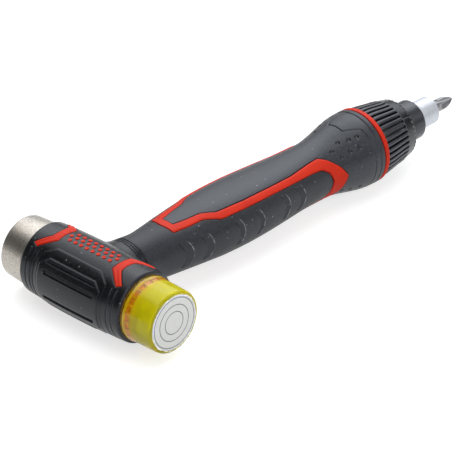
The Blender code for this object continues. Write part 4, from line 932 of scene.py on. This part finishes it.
def make_grip(finish):
    """Black neck, the two side grips, and the lining under the panels, whose black paints shade into the
    seams.
    """
    front_rows = np.linspace(*GRIP_EDGE[:2, 0], FRONT_ROWS) - SEAM
    y = np.unique(np.concatenate((np.linspace(*GRIP_ROWS), front_rows)))
    side = np.minimum(edge_angle(GRIP_EDGE, y) + seam_angle(GRIP_EDGE, y), GRIP_LIMIT)
    edge = np.where(y < GRIP_EDGE[1, 0] - SEAM, edge_angle(GRIP_EDGE, y + SEAM), side)
    under = under_angle(edge)
    shells = [strip(y, edge, 180 - under, GRIP_COLUMNS, grip_height),
              strip(y, 180 + under, 360 - edge, GRIP_COLUMNS, grip_height)]
    # The lining closes the seams from below; its black stands in for their shade, a painted shade
    below = np.linspace(*LINING_ROWS)[:, None]
    spin = np.linspace(0, 360, LINING_COLUMNS, endpoint=False)[None]
    lining = np.concatenate((handle_points(below, spin, -LINING_TOP),
                             handle_points(below[::-1], spin, -LINING_BOTTOM)))
    shells.append(skin(lining, closed=True))
    put("grip_moulding", shells, finish, "handle", "black_soft_plastic", "grip_sleeve")


def make_body(finish):
    """Grey panels at top and bottom, which join in the bulge."""
    y = spread(BODY_ROWS)
    edge = edge_angle(PANEL_EDGE, y) - seam_angle(PANEL_EDGE, y)
    edge = np.where(y > PANEL_EDGE[-1, 0], 90.0, np.clip(edge, PANEL_LEAST, 90))
    under = under_angle(edge)
    panels = [strip(y, -edge, edge, BODY_COLUMNS, body_height),
              strip(y, 180 - under, 180 + under, BODY_COLUMNS, body_height)]
    put("handle_body_moulding", panels, finish, "handle", "dark_grey_plastic", "handle_core")


def make_dimples(finish):
    """Polished bottoms of the dimples in the bulge, on both sides at top and bottom."""
    spin = np.linspace(0, 2 * math.pi, POLISH_COLUMNS, endpoint=False)
    out, raised = POLISH_SECTION[:, :1], POLISH_SECTION[:, 1:]
    polish = []
    for along, place in DIMPLES:
        y = along + out * np.cos(spin)
        angle = place + np.degrees(out * np.sin(spin) / DIMPLE_ARC)
        for turn in (angle, -angle, 180 - angle, 180 + angle):
            polish.append(skin(handle_points(y, turn, body_height(y, turn) + raised)))
    put("dimple_moulding", polish, finish, "handle", "dark_grey_plastic")


def make_band(finish):
    """Red band between panels and grips, straight across the handle at its front end."""
    y = np.unique(np.concatenate((np.linspace(*BAND_ROWS), GRIP_EDGE[1:2, 0], PANEL_EDGE[:2, 0])))
    inner = np.maximum(edge_angle(PANEL_EDGE, y), 0)
    outer = np.maximum(edge_angle(GRIP_EDGE, y), inner + BAND_LEAST)
    bands = []
    for base, near, far in ((0, inner, outer), (180, under_angle(inner), under_angle(outer))):
        for sign in (1, -1):
            bands.append(strip(y, base + sign * near, base + sign * far, BAND_COLUMNS, band_height))
    put("red_band_moulding", bands, finish, "handle", "red_plastic", "red_frame")


def make_red_ring(finish):
    """Thin red ring between the bulge and the selector."""
    put_turned("red_ring_moulding", RED_RING_PROFILE, "Y", True, finish, "handle", "red_plastic", "red_ring")


# Ratchet end; its rings start at +X, a quarter turn from the top line
def make_selector(finish):
    """Ribbed selector ring: rounded ribs, stepped front ends and a scalloped shoulder."""
    angle = (np.arange(RIB_COUNT)[:, None] + RIB_COLUMNS).ravel() * 360 / RIB_COUNT + 90
    rib = np.tile(smooth_step((RIB_FOOT - np.abs(RIB_COLUMNS)) / RIB_FLANK), RIB_COUNT)
    crest = np.tile(1 - RIB_CROWN * (RIB_COLUMNS / RIB_TOP) ** 2, RIB_COUNT)
    rows = []
    for y in spread(SELECTOR_ROWS):
        top = RIB_RADIUS - RIB_TAPER * smooth_step((y - SELECTOR_BACK) / RIB_LENGTH)
        top -= BACK_EASE_DEPTH * smooth_step((SELECTOR_BACK + BACK_EASE - y) / BACK_EASE) ** 2
        run = (y - SHOULDER_START) / (SELECTOR_FRONT - SHOULDER_START)
        shoulder = SHOULDER_RADIUS - SHOULDER_DROP * np.clip(run, 0, 1)
        shoulder -= FRONT_EASE_DEPTH * smooth_step((y - SELECTOR_FRONT + FRONT_EASE) / FRONT_EASE) ** 2
        ends = smooth_step((RIB_END - y) / RIB_END_WIDTH)
        ribbed = top - RIB_DEPTH * (1 - rib * crest)
        scallop = SCALLOP_DEPTH * (1 - rib) * smooth_step((y - SCALLOP_START) / SCALLOP_WIDTH)
        rows.append(ring_points(y, ribbed * ends + (shoulder - scallop) * (1 - ends), angle))
    rows += [ring_points(y, bore, angle) for y, bore in SELECTOR_BORE]
    put("selector_moulding", [skin(rows, closed=True)], finish, "selector", "black_hard_plastic",
        "selector_ring", sharp=50)


def make_nose(finish):
    """Black nose with a rounded rim and a fine groove at its foot."""
    put_turned("nose_moulding", NOSE_PROFILE, "Y", True, finish, "handle", "black_hard_plastic",
               "nose_bushing")


def hex_ring(y, flat, columns):
    """A hexagon ring with the given width across its flats, corners a little eased."""
    turn = np.linspace(0, 360, columns, endpoint=False)
    radius = flat / 2 / np.cos(np.radians(turn % 60 - 30))
    return ring_points(y, np.minimum(radius, flat / math.sqrt(3) * HEX_EASE), turn + 90)


def make_holder(finish):
    """Bright sleeve with a chamfered rim and the hexagon mouth, on its spindle."""
    angle = np.linspace(0, 360, HOLDER_COLUMNS, endpoint=False) + 90
    rows = [ring_points(y, radius, angle) for y, radius in soften(HOLDER_PROFILE)]
    rows += [hex_ring(y, MOUTH_FLAT, HOLDER_COLUMNS) for y in MOUTH_ROWS]
    put("bit_holder_turned", [skin(rows)], finish, "spindle", "chromed_steel", "bit_holder")


def make_bit(finish):
    """Insert bit: hexagon shank, round neck and a four-winged point with hollow flutes."""
    turn = np.linspace(0, 360, BIT_COLUMNS, endpoint=False)
    hollow = np.abs(np.sin(np.radians(2 * (turn - WING_TURN)))) ** FLUTE_HOLLOW
    rows = [hex_ring(y, flat, BIT_COLUMNS) for y, flat in SHANK_ROWS]
    for y in spread(BIT_ROWS):
        taper = np.clip((y - POINT_START) / POINT_LENGTH, 0, 1)
        radius = BIT_RADIUS * (1 - taper ** POINT_FULLNESS) + TIP_RADIUS * taper
        flute = FLUTE_DEPTH * smooth_step((y - FLUTE_START) / FLUTE_RUN)
        rows.append(ring_points(y, radius * (1 - flute * hollow), turn + 90))
    put("bit_ground", [skin(rows)], finish, "bit", "hardened_steel", "screwdriver_bit")


# Works inside, shown as their own solids
INNER_FINISH = {
    "cast_metal": ("head_core", "ratchet_housing"),
    "hardened_steel": ("shaft_pin", "handle_shaft", "drive_gear", "pawl_left", "pawl_right"),
    "spring_steel": ("pawl_pin_left", "pawl_pin_right", "pawl_spring", "spindle_clip", "selector_snap_ring",
                     "detent_ball", "detent_spring", "bit_magnet"),
}


def paint_inside(finishes):
    """Give the works inside their finishes."""
    for key, names in INNER_FINISH.items():
        for name in names:
            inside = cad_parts[name]
            inside.data.materials.clear()
            inside.data.materials.append(finishes[key])


# Studio
def make_camera():
    """Long lens from the soft face's side, above the free end of the head."""
    turn, rise, roll = (math.radians(value) for value in (CAMERA_TURN, CAMERA_RISE, CAMERA_ROLL))
    back = np.array((math.sin(turn) * math.cos(rise), -math.cos(turn) * math.cos(rise), math.sin(rise)))
    right = np.array((math.cos(turn), math.sin(turn), 0.0))
    up = np.cross(back, right)
    across = math.cos(roll) * right + math.sin(roll) * up
    down = math.sin(roll) * right - math.cos(roll) * up
    data = bpy.data.cameras.new("photo_camera")
    data.lens = CAMERA_LENS
    data.sensor_width = CAMERA_SENSOR
    data.clip_end = CAMERA_REACH
    camera = add_object("photo_camera", data)
    place = CROSSING + MM * np.array(CAMERA_PLACE)
    facing = Matrix(np.column_stack((across, -down, back)).tolist()).to_4x4()
    camera.matrix_world = Matrix.Translation(place.tolist()) @ facing
    bpy.context.scene.camera = camera


def add_light(name, place, size, power, tint=(1.0, 1.0, 1.0)):
    """A soft box aimed at the object."""
    data = bpy.data.lights.new(name, "AREA")
    data.shape = "RECTANGLE"
    data.size, data.size_y = size
    data.energy = power
    data.color = tint
    lamp = add_object(name, data)
    back = np.array(place) / np.linalg.norm(place)
    side = np.cross((0.0, 0.0, 1.0), back)
    side = side / np.linalg.norm(side)
    turn = Matrix(np.column_stack((side, np.cross(back, side), back)).tolist()).to_4x4()
    lamp.matrix_world = Matrix.Translation(place) @ turn


def white_when_seen(tree, strength):
    """Strength that holds where the camera, a mirror or glass looks, and is nothing where it lights."""
    path = node(tree, "LightPath")
    looks = path.outputs["Is Camera Ray"]
    for kind in ("Is Glossy Ray", "Is Transmission Ray"):
        looks = node(tree, "Math", {0: looks, 1: path.outputs[kind]}, operation="MAXIMUM")
    return node(tree, "MapRange", {"Value": looks, "To Max": strength}).outputs["Result"]


def make_floor():
    """White paper floor that looks bright and keeps the object's shadow."""
    mesh = bpy.data.meshes.new("floor")
    corners = [(FLOOR_HALF * x, FLOOR_HALF * y, 0) for x, y in ((-1, -1), (1, -1), (1, 1), (-1, 1))]
    mesh.from_pydata(corners, [], [(0, 1, 2, 3)])
    floor = add_object("floor", mesh)
    # Paper: matt and almost even
    paper = bpy.data.materials.new("floor_paper")
    paper.use_nodes = True
    tree = paper.node_tree
    shader = tree.nodes["Principled BSDF"]
    grain = node(tree, "TexNoise", {"Scale": 1 / FLOOR_GRAIN})
    tone = node(tree, "MapRange", {"Value": grain, "To Min": FLOOR_TONES[0], "To Max": FLOOR_TONES[1]})
    tree.links.new(tone.outputs["Result"], shader.inputs["Base Color"])
    shader.inputs["Roughness"].default_value = 1.0
    shader.inputs["Specular IOR Level"].default_value = 0.0
    shader.inputs["Emission Color"].default_value = (1.0, 1.0, 1.0, 1.0)
    tree.links.new(white_when_seen(tree, FLOOR_GLOW), shader.inputs["Emission Strength"])
    mesh.materials.append(paper)


def make_studio():
    """Pale floor, weak white world, and soft boxes above, behind, at the bit's side and in front."""
    scene = bpy.context.scene
    scene.view_settings.view_transform = "Standard"
    world = bpy.data.worlds.new("studio")
    scene.world = world
    world.use_nodes = True
    back = world.node_tree.nodes["Background"]
    back.inputs["Color"].default_value = (1.0, 1.0, 1.0, 1.0)
    back.inputs["Strength"].default_value = WORLD_LIGHT
    make_floor()
    for name, light in LIGHTS.items():
        add_light(name, *light)


def build():
    finishes = {**make_metals(), **make_plastics()}
    make_head_cover(finishes["black_soft_plastic"])
    make_head_red(finishes["red_plastic"])
    make_steel_face(finishes["satin_steel"])
    make_soft_face(finishes["clear_yellow_plastic"])
    make_insert(finishes["amber_plastic"])
    make_label(finishes["white_paper"])
    make_grip(finishes["grip"])
    make_body(finishes["dark_grey_plastic"])
    make_dimples(finishes["polished_plastic"])
    make_band(finishes["red_plastic"])
    make_red_ring(finishes["red_plastic"])
    make_selector(finishes["black_hard_plastic"])
    make_nose(finishes["black_hard_plastic"])
    make_holder(finishes["chromed_steel"])
    make_bit(finishes["bit_steel"])
    paint_inside(finishes)
    make_camera()
    make_studio()


build()
